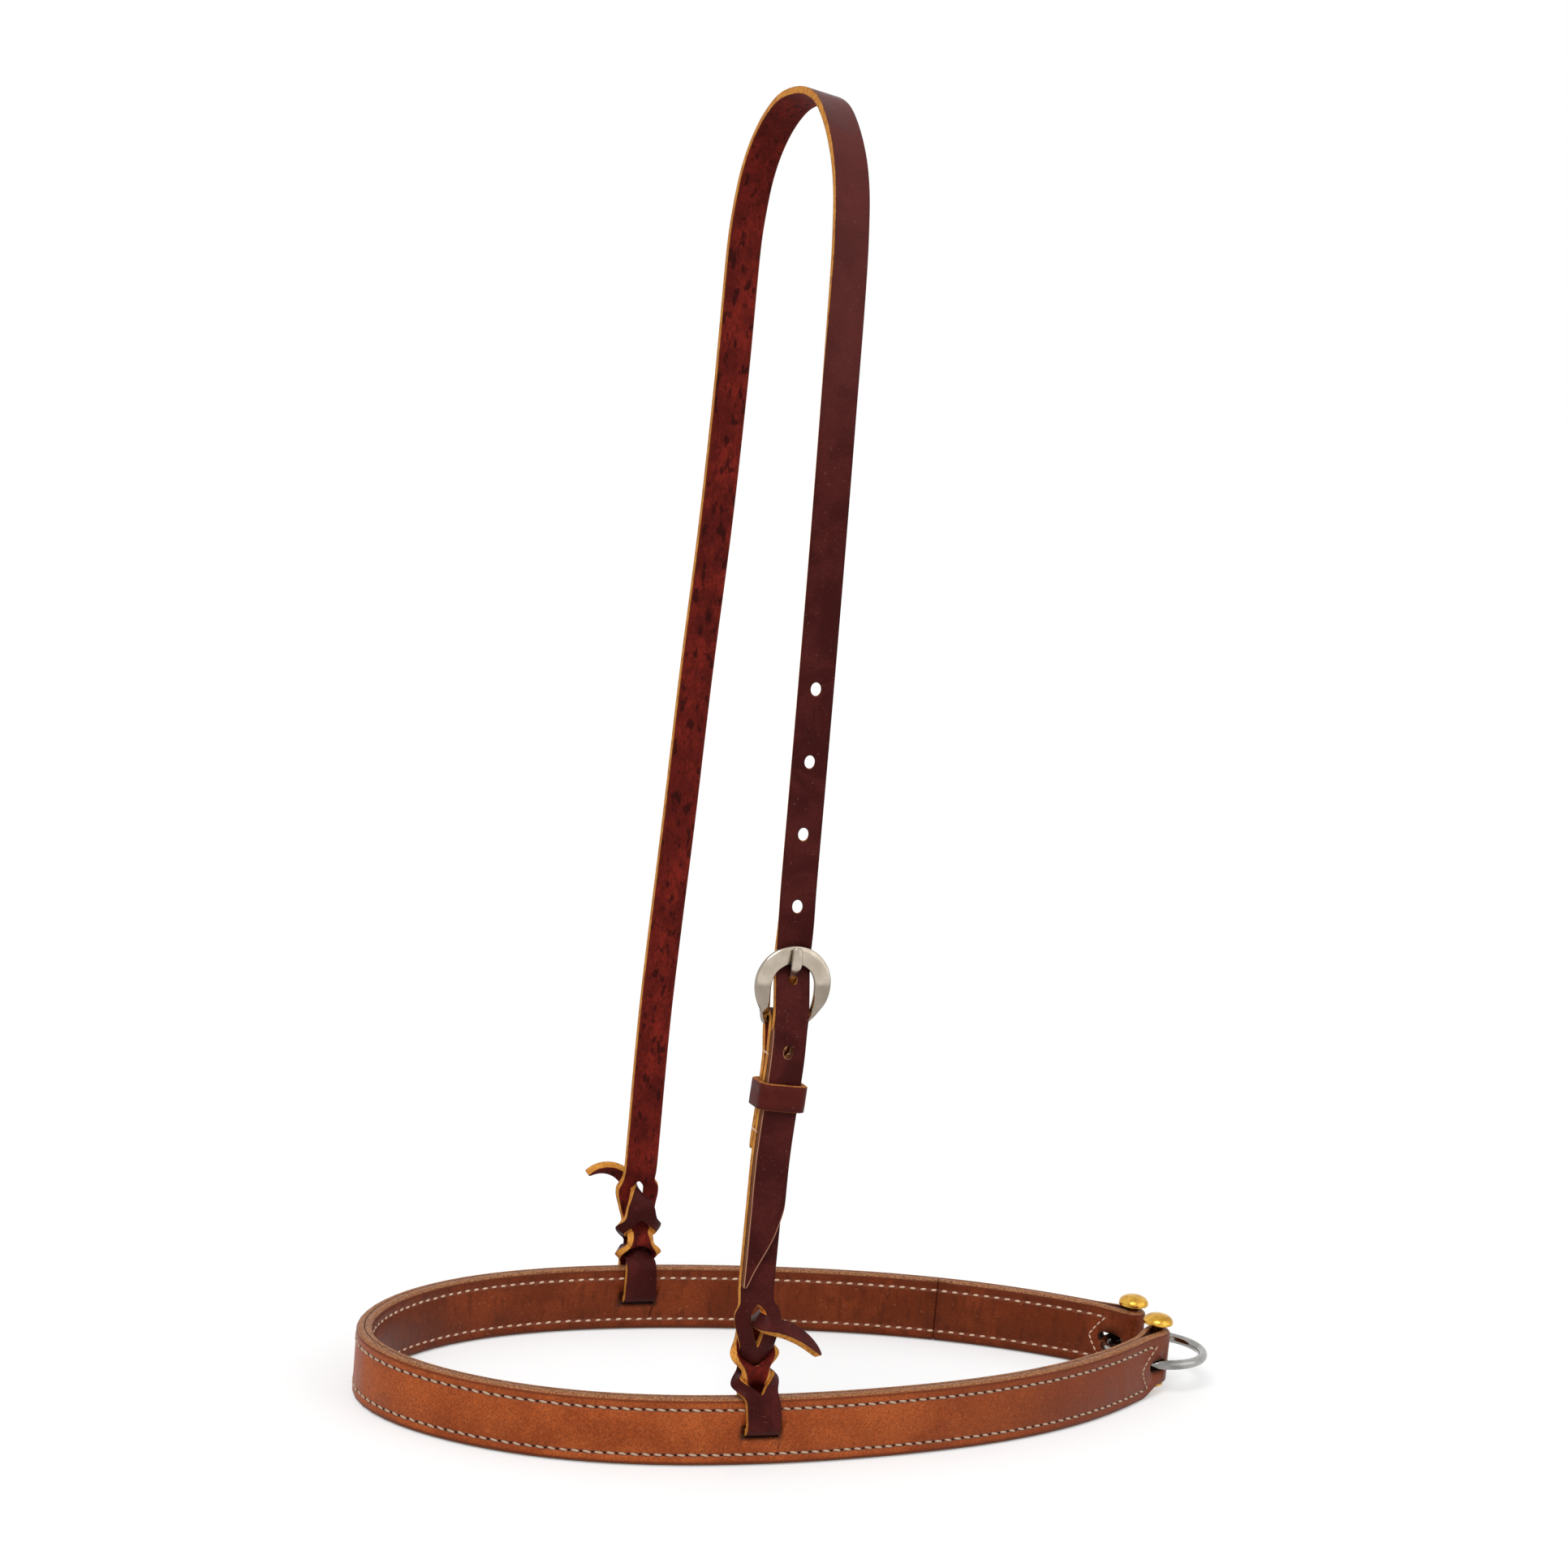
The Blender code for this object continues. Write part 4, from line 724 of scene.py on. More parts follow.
strap = {"width": 12.7, "thick": 2.8, "layer": 3.25, "clear": 0.3, "bandThick": 6.1,
         "columns": (1.0, 0.9, 0.55, 0.0),      # its mesh lines, as shares of the half width
         "cutCrease": 0.72, "holeCrease": 0.6, "holeRing": 4.2, "holeCell": 3.5}
half, thick, layer, clear = strap["width"] / 2, strap["thick"], strap["layer"], strap["clear"]
outerFace = max(abs(p.y) for p in plyChain if abs(p.x / mm - slotMiddle.x) < 9.0) / mm
buckleBar = jointAt["frame_rock"] - slotMiddle
barOut, barHeight, barRadius = -buckleBar.y, buckleBar.z, 1.5


def station(out, height, across=(1, 0, 0), left=half, right=None, cup=0.0, gap=0.0, turn=0.0, step=2.4,
            x=0.0):
    return {"point": Vector((x, out, height)), "across": Vector(across).normalized(), "left": left,
            "right": left if right is None else right, "cup": cup, "gap": gap, "turn": turn, "step": step}


def blend(b, c, share):
    row = dict(b, across=b["across"].lerp(c["across"], share).normalized())
    for word in ("left", "right", "cup", "gap", "turn"):
        row[word] = b[word] + (c[word] - b[word]) * share
    return row


def drawnIn(middle, other, reach):
    # the other point, no further from the middle than reach
    return middle + (other - middle) * min(1.0, reach / max((other - middle).length, 1e-6))


def smoothStations(keys):
    # stations between the keys, their middles on a curve through all of them
    points = [key["point"] for key in keys]
    points = [points[0] * 2 - points[1]] + points + [points[-1] * 2 - points[-2]]
    rows = []
    for i, (low, high) in enumerate(zip(keys, keys[1:])):
        a, b, c, d = points[i:i + 4]
        reach = (c - b).length
        a, d = drawnIn(b, a, reach), drawnIn(c, d, reach)
        count = max(1, math.ceil(reach / low["step"]))
        for k in range(count):
            t = k / count
            row = blend(low, high, ease(t))
            row["point"] = 0.5 * (2 * b + (c - a) * t + (2 * a - 5 * b + 4 * c - d) * t * t
                                  + (3 * b - a - 3 * c + d) * t * t * t)
            rows.append(row)
    return rows + [keys[-1]]


def between(table, height):
    # the value at a height, in a table of heights and values
    rows = sorted(table)
    if height <= rows[0][0]:
        return rows[0][1]
    for (low, a), (high, b) in zip(rows, rows[1:]):
        if height <= high:
            return a + (b - a) * (height - low) / (high - low)
    return rows[-1][1]


def halfProfile(row, place, across, out, sign):
    # closed outline of one half of a strap: outer edge, grain face, inner edge, flesh face
    size = (row["left"] + row["right"]) / 2
    middle = (row["right"] - row["left"]) / 2
    top, bottom = [], []
    for a in strap["columns"]:
        if row["gap"] > 1e-4:
            turn = row["turn"]
            centre = row["gap"] + size / 2 * math.cos(turn) + thick / 2 * math.sin(turn)
            b = (a - 0.5) * size
            u, v, angle = sign * (centre + b * math.cos(turn)), -b * math.sin(turn), -sign * turn
        elif row["cup"] > 1e-3:
            radius = size / row["cup"]
            bend = row["cup"] * a
            u, v = middle + sign * radius * math.sin(bend), -radius * (1 - math.cos(bend))
            angle = -sign * bend
        else:
            u, v, angle = middle + sign * a * size, 0.0, 0.0
        normal = across * -math.sin(angle) + out * math.cos(angle)
        core = place + across * u + out * v
        top.append(core + normal * thick / 2)
        bottom.append(core - normal * thick / 2)
    return [(top[0] + bottom[0]) / 2] + top + [(top[-1] + bottom[-1]) / 2] + bottom[::-1]


def loftHalf(bm, rows, sign, edgeLayer):
    # one half of a strap, with material 3 on the inner edge where the halves are one
    count = len(strap["columns"])
    total = 2 * count + 2
    kinds = [2] + [0] * (count - 1) + [3, 3] + [1] * (count - 1) + [2]
    for i, row in enumerate(rows):
        ahead = (rows[min(i + 1, len(rows) - 1)]["point"] - rows[max(i - 1, 0)]["point"]).normalized()
        across = (row["across"] - ahead * row["across"].dot(ahead)).normalized()
        points = halfProfile(row, row["point"], across, ahead.cross(across), sign)
        if i:
            made = set(bmesh.ops.extrude_edge_only(bm, edges=edges)["geom"])
            verts = [next(e.other_vert(v) for e in v.link_edges if e.other_vert(v) in made) for v in verts]
            edges = [bm.edges.get((verts[k], verts[(k + 1) % total])) for k in range(total)]
            oneStrap = max(row["gap"], rows[i - 1]["gap"]) <= 1e-4
            for kind, edge in zip(kinds, edges):
                edge.link_faces[0].material_index = kind if kind < 3 or oneStrap else 2
            for vert, point in zip(verts, points):
                vert.co = point
        else:
            verts = [bm.verts.new(p) for p in points]
            edges = [bm.edges.new((verts[k], verts[(k + 1) % total])) for k in range(total)]
            bm.faces.new(verts).material_index = 2
        size = (row["left"] + row["right"]) / 2
        for k, vert in enumerate(verts):
            if k in (0, count + 1):
                vert[edgeLayer] = thick / 2
            else:
                a = strap["columns"][k - 1 if k <= count else total - 1 - k]
                vert[edgeLayer] = min(1.0 - a, a if row["gap"] > 1e-4 else 9.0) * size
    bm.faces.new(verts).material_index = 2


def addHoleRows(rows, height, reach):
    # stations at a hole's middle and just past its ends, in place of the ones that lie too near
    path = [row["point"] for row in rows]
    k = next(i for i, (a, b) in enumerate(zip(path, path[1:]))
             if a.y < 0 and (a.z - height) * (b.z - height) <= 0 and abs(a.z - b.z) > 1e-6)
    lengths = pathLengths(path)
    share = (height - path[k].z) / (path[k + 1].z - path[k].z)
    middle = lengths[k] + share * (lengths[k + 1] - lengths[k])
    keep = [(length, row) for length, row in zip(lengths, rows) if abs(length - middle) > reach + 1.2]
    for place in (middle - reach, middle, middle + reach):
        j, mix = spotAt(lengths, place)
        keep.append((place, dict(blend(rows[j - 1], rows[j], mix), point=path[j - 1].lerp(path[j], mix))))
    return [row for _, row in sorted(keep, key=lambda item: item[0])]


def punchHole(bm, height, halfWidth, halfLength, edgeLayer, creaseLayer):
    # open the cells round a hole's middle on both faces, draw them in to an ellipse and join them
    loops = []
    for material in (0, 1):
        centre = min((v for v in bm.verts if v.co.y < 0 and v[edgeLayer] > half - 0.8
                      and all(f.material_index == material for f in v.link_faces)),
                     key=lambda v: abs(v.co.z - height))
        ring = {e for f in centre.link_faces for e in f.edges if centre not in e.verts}
        middle = centre.co.copy()
        spokes = (e.other_vert(centre).co - middle for e in centre.link_edges)
        up = max(spokes, key=lambda spoke: spoke.z).normalized()
        sideways = up.cross(centre.normal).normalized()
        bmesh.ops.delete(bm, geom=[centre], context='VERTS')
        made = bmesh.ops.extrude_edge_only(bm, edges=list(ring))["geom"]
        inner = [v for v in made if isinstance(v, bmesh.types.BMVert)]
        for face in (f for f in made if isinstance(f, bmesh.types.BMFace)):
            face.material_index = material
        for vert in inner:
            offset = vert.co - middle
            angle = math.atan2(offset.dot(up) / strap["holeRing"], offset.dot(sideways) / strap["holeCell"])
            vert.co = middle + sideways * halfWidth * math.cos(angle) + up * halfLength * math.sin(angle)
            vert[edgeLayer] = 0.0
        loops += [e for e in made if isinstance(e, bmesh.types.BMEdge) and all(v in inner for v in e.verts)]
    for face in bmesh.ops.bridge_loops(bm, edges=loops)["faces"]:
        face.material_index = 2
    for edge in loops:
        edge[creaseLayer] = strap["holeCrease"]


def ribbonPiece(name, node, rows, holes=(), tail=None):
    for height, _, _ in holes:
        rows = addHoleRows(rows, height, strap["holeRing"])
    bm = bmesh.new()
    edgeLayer, rawLayer, dyedLayer = (bm.verts.layers.float.new(word)
                                      for word in ("edgeMm", "rawEdge", "dyedEdge"))
    creaseLayer = bm.edges.layers.float.new("crease_edge")
    for sign in (-1, 1):
        loftHalf(bm, rows, sign, edgeLayer)
    bmesh.ops.delete(bm, geom=[f for f in bm.faces if f.material_index == 3], context='FACES_ONLY')
    bmesh.ops.delete(bm, geom=[e for e in bm.edges if not e.link_faces], context='EDGES')
    bmesh.ops.delete(bm, geom=[v for v in bm.verts if not v.link_faces], context='VERTS')
    bmesh.ops.remove_doubles(bm, verts=bm.verts, dist=0.0005)
    bmesh.ops.recalc_face_normals(bm, faces=bm.faces)
    bm.normal_update()
    for edge in bm.edges:
        kinds = {face.material_index for face in edge.link_faces}
        if 2 in kinds and len(kinds) > 1:
            edge[creaseLayer] = strap["cutCrease"]
    for hole in holes:
        punchHole(bm, *hole, edgeLayer, creaseLayer)
    bmesh.ops.recalc_face_normals(bm, faces=bm.faces)
    # the tail below the buckle: painted shade on its cut edge, and its raw edges marked
    if tail:
        for vert in bm.verts:
            height = vert.co.z
            if vert.co.y < -stackOut(height) - layer / 2 and height < tail["from"]:
                vert[dyedLayer] = 1.0
                vert[rawLayer] = float(vert.co.x < lean(-1, height) or height < tail["point"])
    bmesh.ops.translate(bm, verts=bm.verts, vec=slotMiddle)
    bmesh.ops.scale(bm, verts=bm.verts, vec=(mm, mm, mm))
    addPiece(name, bm, [strapGrain, strapFlesh, strapCut], "hanger", (node,), 2)


# The bleed knots that hold the straps to the band, heights from the band's lower edge. A strap passes in
# front of, through or behind its own running part, inside the band and outside it.

knot = {
    "top": 66.0, "cup": 5.0, "cupBend": 1.15, "leg": {"left": 4.5, "gap": 5.0, "turn": math.radians(60)},
    "lower": 32.2, "upper": 40.6, "slitLow": 44.8, "slitHigh": 60.8, "slitOpen": 2.3,
    "slitTurn": math.radians(14), "exit": 55.2, "endHalf": 3.0, "endOut": 7.6, "endTilt": math.radians(45),
    "endBend": 4.8, "nearEnd": (20.5, -12, -55), "farEnd": (18.0, 52, -38), "slot": 12.6, "slotBend": 2.5,
    "taper": ((0.2, 1.0), (0.4, 0.95), (0.6, 0.82), (0.8, 0.6), (0.93, 0.36), (1.0, 0.12)),
}
knotIn = -strap["bandThick"] - clear - thick / 2 - 0.1
knotOut = clear + thick / 2
knotMid = (knotIn + knotOut) / 2
knotBack = knotMid - thick - clear
knotFront = knotMid + thick + clear


def headingAt(angle):
    return Vector((math.cos(angle), 0, math.sin(angle)))


def upperEdge(angle):
    tilt = knot["endTilt"]
    return (Vector((-math.sin(angle), 0, math.cos(angle))) * math.cos(tilt)
            - Vector((0, 1, 0)) * math.sin(tilt))


def pointedEnd(length, rootHeading, tipHeading):
    # the strap's end behind the knot, out through the upper slit and away along a curve
    root, tip = math.radians(rootHeading), math.radians(tipHeading)
    width, leave = knot["endHalf"], knot["exit"]
    keys = [
        station(knotBack, leave - 8.8, left=half * 0.98, x=0.2),
        station(knotBack + 0.1, leave - 4.6, (0.99, 0.02, 0.1), half * 0.86, step=1.8, x=0.3),
        station(knotBack + 1.6, leave - 1.6, (0.9, -0.1, 0.4), width + 1.2, step=1.8, x=0.4),
        station(knotBack + 4.2, leave - 0.2, (0.7, -0.1, 0.7), width + 0.3, step=1.8, x=0.2),
    ]
    exitAcross = Vector((0.5, -0.15, 0.85)).normalized()
    for i in range(5):
        angle = math.pi / 2 * i / 4
        place = Vector((0.0, knotBack + knot["endOut"], leave)) + knot["endBend"] * (
            Vector((0, 1, 0)) * math.sin(angle) + headingAt(root) * (1 - math.cos(angle)))
        across = exitAcross.lerp(upperEdge(root), i / 4)
        keys.append(station(place.y, place.z, across, width, step=1.8, x=place.x))
    done = 0.0
    for share, part in knot["taper"]:
        place = place + headingAt(root + (tip - root) * (done + share) / 2) * length * (share - done)
        across = upperEdge(root + (tip - root) * share)
        keys.append(station(place.y, place.z, across, width * part, x=place.x))
        done = share
    return keys


def bleedKnot(end):
    low, high, leave, slot = knot["lower"], knot["upper"], knot["exit"], knot["slot"]
    cup, leg, bend = knot["cup"], knot["leg"], knot["slotBend"]
    slit, turn = knot["slitOpen"], knot["slitTurn"]
    keys = [
        station(knotMid, knot["top"]),
        station(knotMid + 2.0, knot["slitHigh"]),
        station(knotFront - 0.2, leave + 2.6, left=half * 0.96, gap=slit * 0.95, turn=turn),
        station(knotFront + 0.3, leave - 0.8, left=half * 0.94, gap=slit, turn=turn),
        station(knotFront + 0.1, leave - 5.2, left=half * 0.92, gap=slit * 0.6, turn=turn / 2),
        station(knotFront - 0.5, knot["slitLow"], left=half * 0.97, cup=0.3),
        station(knotFront - 1.6, high + 0.9, left=half * 0.95, cup=0.75),
        station(knotMid - 0.4, high - 2.6, left=cup, cup=knot["cupBend"]),
        station(knotBack + 0.2, high - 5.6, left=cup, cup=0.6),
        station(knotMid, low, **leg),
        station(knotOut, low - 5.6, left=half * 0.95),
        station(knotOut, low - 9.5),
        station(knotOut, slot + bend + 1.5, step=1.6),
    ]
    for depth, quarter in ((knotOut - bend, 0), (knotIn + bend, 1)):
        for i in range(5):
            angle = math.pi / 2 * (i / 4 + quarter)
            out, height = depth + bend * math.cos(angle), slot + bend - bend * math.sin(angle)
            keys.append(station(out, height, step=1.6))
    keys += [
        station(knotIn, slot + bend + 1.5),
        station(knotIn, low - 6.0, left=half * 0.95),
        station(knotMid, low, left=cup, cup=knot["cupBend"]),
        station(knotFront - 0.8, low + 2.8, left=cup, cup=0.6),
        station(knotFront - 0.8, low + 4.6, left=cup, cup=0.3),
        station(knotMid, high, **leg),
    ]
    return keys + pointedEnd(*end)


def placeKnot(keys, side):
    rows = []
    for key in keys:
        p, a = key["point"], key["across"]
        rows.append(dict(key, point=Vector((-side * p.x, side * (outerFace + p.y), p.z)),
                         across=Vector((-side * a.x, side * a.y, a.z))))
    return rows


def turnedBack(rows):
    # the same stations from the last to the first; a station's step is the one to its next
    back = [dict(row, across=-row["across"], left=row["right"], right=row["left"]) for row in reversed(rows)]
    for row, following in zip(back, rows[-2::-1] + rows[:1]):
        row["step"] = following["step"]
    return back


# The straps above the knots

hanger = {
    "crown": 488.5, "bank": math.radians(11.6), "bankDrop": 48.5,
    "line": ((3.1, 21.4, 5.0), (11.8, 36.8, 4.2), (22.8, 47.9, 3.7), (33.9, 54.2, 3.3), (55.5, 59.3, 2.8),
             (106.5, 61.3, 2.8), (163.5, 64.4, 2.2), (221.5, 68.9, 0.8), (279.0, 72.0, -0.3)),
    "crownLean": 6.0,       # line: drop from the crown, out from the middle plane, lean along X
    "nearLean": ((20.0, 0.2), (34.0, -3.6), (61.0, -5.7), (115.0, -4.4), (150.0, -1.5), (192.0, -0.5)),
    "farLean": ((20.0, 0.2), (61.0, -2.1), (126.0, -2.6)), "farCheek": (75.5, 130.0),
    "hole": (2.0, 2.65), "tongueHole": (1.9, 2.7), "firstHole": 15.8, "holePitch": 25.8,
    "holes": (-1, 1, 2, 3, 4),
    "tailReach": 96.0, "tailPoint": 28.0, "chapeReturn": 47.6, "rimTop": 25.0, "rimOut": 1.1,
    "twist": ((55.0, 0.0), (106.0, math.radians(17)), (279.0, math.radians(17))), "twistEnd": 12.0,
    "point": ((0.0, 0.97), (0.2, 0.72), (0.97, -0.75), (1.0, -0.86)),       # the oblique end's right side
}
chape = {"straightFrom": 34.0, "straightTo": 13.0, "foldEnd": 4.0, "foldFlat": 20.0, "slotHalf": 2.4,
         "slotReach": 11.0}
crown = hanger["crown"]
rimTop = barHeight + hanger["rimTop"]
chapeEnd = barHeight - hanger["chapeReturn"]
tailTip = barHeight - hanger["tailReach"]
tailTop = tailTip + hanger["tailPoint"]
atRim = barOut + hanger["rimOut"]
overBar = barOut + barRadius + 2 * clear + 1.5 * thick + 0.15


def lean(side, height):
    low = hanger["nearLean"] if side < 0 else hanger["farLean"]
    high = ((0.0, 0.0, hanger["crownLean"]), *hanger["line"])
    return between(low + tuple((crown - drop, x) for drop, _, x in high), height)


def leaned(rows):
    for row in rows:
        row["point"].x += lean(1 if row["point"].y > 0 else -1, row["point"].z)
    return smoothStations(rows)


def stackOut(height):
    # how far out the middle of the chape lies, between knot and buckle
    low = outerFace + knotMid
    high = barOut + barRadius + clear + thick / 2
    return low + (high - low) * (height - knot["top"]) / (barHeight - knot["top"])


def hangerSide(side):
    rows = []
    start = crown - hanger["bankDrop"]
    for drop, out, _ in hanger["line"]:
        height = crown - drop
        bank = hanger["bank"] * ease((height - start) / hanger["bankDrop"])
        twist = between(hanger["twist"], crown - height) if side < 0 else 0.0
        across = (-side * math.cos(bank) * math.cos(twist), -math.sin(twist), side * math.sin(bank))
        rows.append(station(side * out, height, across, step=7.0 if height > start else 15.0))
    return rows


def hangerStations():
    # from the far knot's pointed end up, over the crown and down to the tail's point
    far = hangerSide(1) + [station(*hanger["farCheek"], (-1, 0, 0), step=15.0)]
    turned = hanger["twist"][-1][1]
    near = hangerSide(-1)
    for out, height, angle, step in (
            (atRim + 0.4, rimTop + hanger["twistEnd"], turned, 5.0),
            (atRim + 0.1, rimTop + 4.0, turned / 2, 5.0), (atRim, rimTop - 3.0, 0.0, 3.0),
            ((atRim + overBar) / 2, (rimTop + barHeight) / 2 + 1.0, 0.0, 3.0),
            (overBar, barHeight + 3.5, 0.0, 3.0), (overBar, barHeight - 3.0, 0.0, 6.0)):
        near.append(station(-out, height, (math.cos(angle), -math.sin(angle), 0), step=step))
    for height in (barHeight - chape["straightTo"], chapeEnd, tailTop + 3.0):
        near.append(station(-stackOut(height) - layer, height, step=15.0))
    for share, right in hanger["point"]:
        height = tailTip + hanger["tailPoint"] * (1 - share)
        near.append(station(-stackOut(height) - layer, height, right=half * right, step=7.0))
    top = station(0, crown, (math.cos(hanger["bank"]), 0, -math.sin(hanger["bank"])), step=6.0)
    return leaned(turnedBack(far + placeKnot(bleedKnot(knot["farEnd"]), 1)) + [top] + near)


def chapeStations():
    # from the near knot's pointed end up, round the buckle's bar and down the inside
    rows = turnedBack([station(-stackOut(height), height, step=15.0)
                       for height in (chapeEnd, knot["top"] + chape["straightFrom"])]
                      + placeKnot(bleedKnot(knot["nearEnd"]), -1))
    radius = barRadius + clear + thick / 2
    straightEnd, foldFlat = barHeight - chape["straightTo"], barHeight - chape["foldFlat"]
    slitEnd, foldEnd = barHeight - chape["slotReach"], barHeight - chape["foldEnd"]
    slit = {"left": half - chape["slotHalf"], "gap": chape["slotHalf"], "across": (-1, 0, 0)}
    rows += [station(-stackOut(straightEnd), straightEnd, (-1, 0, 0), step=2.0),
             station(-stackOut(slitEnd), slitEnd, step=3.0, **slit),
             station(-stackOut(foldEnd), foldEnd, step=4.0, **slit)]
    for i in range(9):
        angle = math.pi * i / 8
        out, height = -barOut - radius * math.cos(angle), barHeight + radius * math.sin(angle)
        rows.append(station(out, height, step=3.0, **slit))
    rows += [station(2 * radius - clear - stackOut(foldEnd), foldEnd, step=6.0, **slit),
             station(layer + 0.9 - stackOut(slitEnd), slitEnd, step=2.0, **slit)]
    for height, inner in ((straightEnd, layer + 0.7), (foldFlat, layer), (chapeEnd, layer)):
        rows.append(station(inner - stackOut(height), height, (-1, 0, 0), step=8.0))
    return leaned(rows)


firstHole = barHeight + hanger["firstHole"]
holes = [(firstHole + i * hanger["holePitch"], *hanger["hole"]) for i in hanger["holes"]]
holes.append((firstHole, *hanger["tongueHole"]))
ribbonPiece("hanger_strap_leather", "hanger_strap", hangerStations(), holes,
            {"from": barHeight - 1.0, "point": tailTop + 1.0})
ribbonPiece("buckle_chape_leather", "buckle_chape", chapeStations())

seam = {"above": 9.3, "below": 7.4, "count": 4, "pitch": 3.4, "length": 2.6, "width": 0.8, "thick": 0.5,
        "proud": 0.02}


def chapeSeams(look):
    # two short seams across the chape's two layers, their thread turning round its side edges
    stitches = []
    draw = random.Random("chape")
    low, high = (corner.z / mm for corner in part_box("keeper"))

    def sew(x, out, height, direction, outward, length):
        addStitch(stitches, (slotMiddle + Vector((x, out, height))) * mm, Vector(direction), Vector(outward),
                  length * mm, look["width"] * mm, look["thick"] * mm)

    for height in (high + look["above"], low - look["below"]):
        front, back = -stackOut(height) - thick / 2, layer - stackOut(height) + thick / 2
        middle = lean(-1, height)
        for i in range(look["count"]):
            x = middle + (i - (look["count"] - 1) / 2) * look["pitch"]
            for out, sign in ((back, 1), (front, -1)):
                sew(x, out + sign * look["proud"], height + draw.uniform(-0.1, 0.1), (1, 0, 0), (0, sign, 0),
                    look["length"])
        for sign in (-1, 1):
            sew(middle + sign * (half + look["proud"]), (front + back) / 2, height, (0, 1, 0), (sign, 0, 0),
                back - front)
    addPiece("chape_stitching", sewTogether(stitches), [threadIn], "hanger")


chapeSeams(seam)
print("straps and knots dressed")


# Keeper and buckle: CAD copies with their corners softened

metalLooks = {
    # the nickel's edge colour is a painted dark reflection along the buckle's and tongue's rims
    "nickel": {"bright": (0.58, 0.50, 0.41), "dull": (0.43, 0.365, 0.29), "scale": 110.0,
               "rough": (0.12, 0.22), "scratch": 0.08, "bump": 0.1, "edgeColor": (0.11, 0.09, 0.07),
               "edgeWidth": 0.6, "edgeShare": 0.5},
    "ringSteel": {"bright": (0.37, 0.36, 0.345), "dull": (0.19, 0.182, 0.17), "scale": 90.0,
                  "rough": (0.06, 0.14), "scratch": 0.06, "bump": 0.06},
    "brass": {"bright": (0.78, 0.45, 0.075), "dull": (0.46, 0.23, 0.028), "scale": 240.0,
              "rough": (0.16, 0.28), "scratch": 0.1, "bump": 0.15},
}
nickel, steel, brass = (polishedMetal(name, look) for name, look in metalLooks.items())


def markEdges(bm, rims):
    # distance in millimetres from each vertex to the nearest rim edge, read by the materials
    tree = KDTree(3 * len(rims))
    for i, edge in enumerate(rims):
        a, b = (vert.co for vert in edge.verts)
        for k in range(3):
            tree.insert(a.lerp(b, k / 2), 3 * i + k)
    tree.balance()
    edgeLayer = bm.verts.layers.float.new("edgeMm")
    for vert in bm.verts:
        vert[edgeLayer] = tree.find(vert.co)[2] / mm


def softCopy(name, node, body, materials, crease):
    bm = nodeMesh(node)
    creaseLayer = bm.edges.layers.float.new("crease_edge")
    rims = [e for e in bm.edges if e.calc_face_angle(0) > math.radians(40)]
    for edge in rims:
        edge[creaseLayer] = crease
    markEdges(bm, rims)
    if len(materials) > 1:
        for face in bm.faces:
            face.material_index = int(abs(face.normal.z) > 0.8)
    addPiece(name, bm, materials, body, (node,), 2)


softCopy("keeper_leather", "keeper", "keeper", [keeperGrain, strapCut], 0.55)
softCopy("buckle_frame_nickel", "buckle_frame", "frame", [nickel], 0.5)
softCopy("buckle_tongue_nickel", "buckle_tongue", "tongue", [nickel], 0.4)


# Ring and pins: profiles turned round an upright axis

def spunPiece(name, profile, centre, steps, material, body, node):
    bm = bmesh.new()
    verts = [bm.verts.new((centre.x + r * mm, centre.y, centre.z + z * mm)) for r, z in profile]
    edges = [bm.edges.new(pair) for pair in zip(verts, verts[1:])]
    bmesh.ops.spin(bm, geom=verts + edges, cent=(centre.x, centre.y, 0), axis=(0, 0, 1),
                   angle=2 * math.pi, steps=steps, use_merge=True)
    bmesh.ops.remove_doubles(bm, verts=bm.verts, dist=0.002 * mm)
    bmesh.ops.recalc_face_normals(bm, faces=bm.faces)
    addPiece(name, bm, [material], body, (node,))


ring = {"radius": 19.5, "wire": 1.9, "around": 96, "section": 24}
rivet = {"dome": 5.95, "domeTop": 31.55, "domeSteps": 10, "domeFull": 0.9, "brim": 27.9, "lip": 27.1,
         "neck": 2.1, "shankEnd": 2.9, "peen": 2.95, "peenEnd": 1.75, "steps": 48}


def wireProfile(look):
    radius, wire, count = look["radius"], look["wire"], look["section"]
    turns = [2 * math.pi * i / count for i in range(count + 1)]
    return [(radius + wire * math.cos(turn), wire * math.sin(turn)) for turn in turns]


def rivetProfile(look):
    dome, brim, lip, neck = look["dome"], look["brim"], look["lip"], look["neck"]
    shankEnd, peen, peenEnd = look["shankEnd"], look["peen"], look["peenEnd"]
    points = [(0.0, look["domeTop"])]
    for i in range(1, look["domeSteps"] + 1):
        angle = math.pi / 2 * i / look["domeSteps"]
        points.append((dome * math.sin(angle),
                       brim + (look["domeTop"] - brim) * math.cos(angle) ** look["domeFull"]))
    return points + [
        (dome - 0.12, brim - 0.35), (dome - 0.6, brim - 0.62), (neck + 1.5, lip + 0.1),
        (neck + 0.4, lip - 0.1), (neck, lip - 0.5), (neck - 0.1, shankEnd), (peen, shankEnd - 0.1),
        (peen, shankEnd - 0.5), (peen * 0.8, peenEnd + 0.2), (peen * 0.4, peenEnd + 0.02), (0.0, peenEnd)]


spunPiece("tie_down_ring_steel", wireProfile(ring), boxMiddle("tie_down_ring"), ring["around"], steel,
          "ring", "tie_down_ring")
for sideName, side in (("near", -1), ("far", 1)):
    foot = Vector((pins[side].x, pins[side].y, 0.0))
    spunPiece(sideName + "_rivet_brass", rivetProfile(rivet), foot, rivet["steps"], brass, "noseband",
              sideName + "_rivet")
    burr = frame["nodes"][sideName + "_burr"].data
    burr.materials.clear()
    burr.materials.append(brass)
print("keeper and metal dressed")


# Camera, lights, floor and background

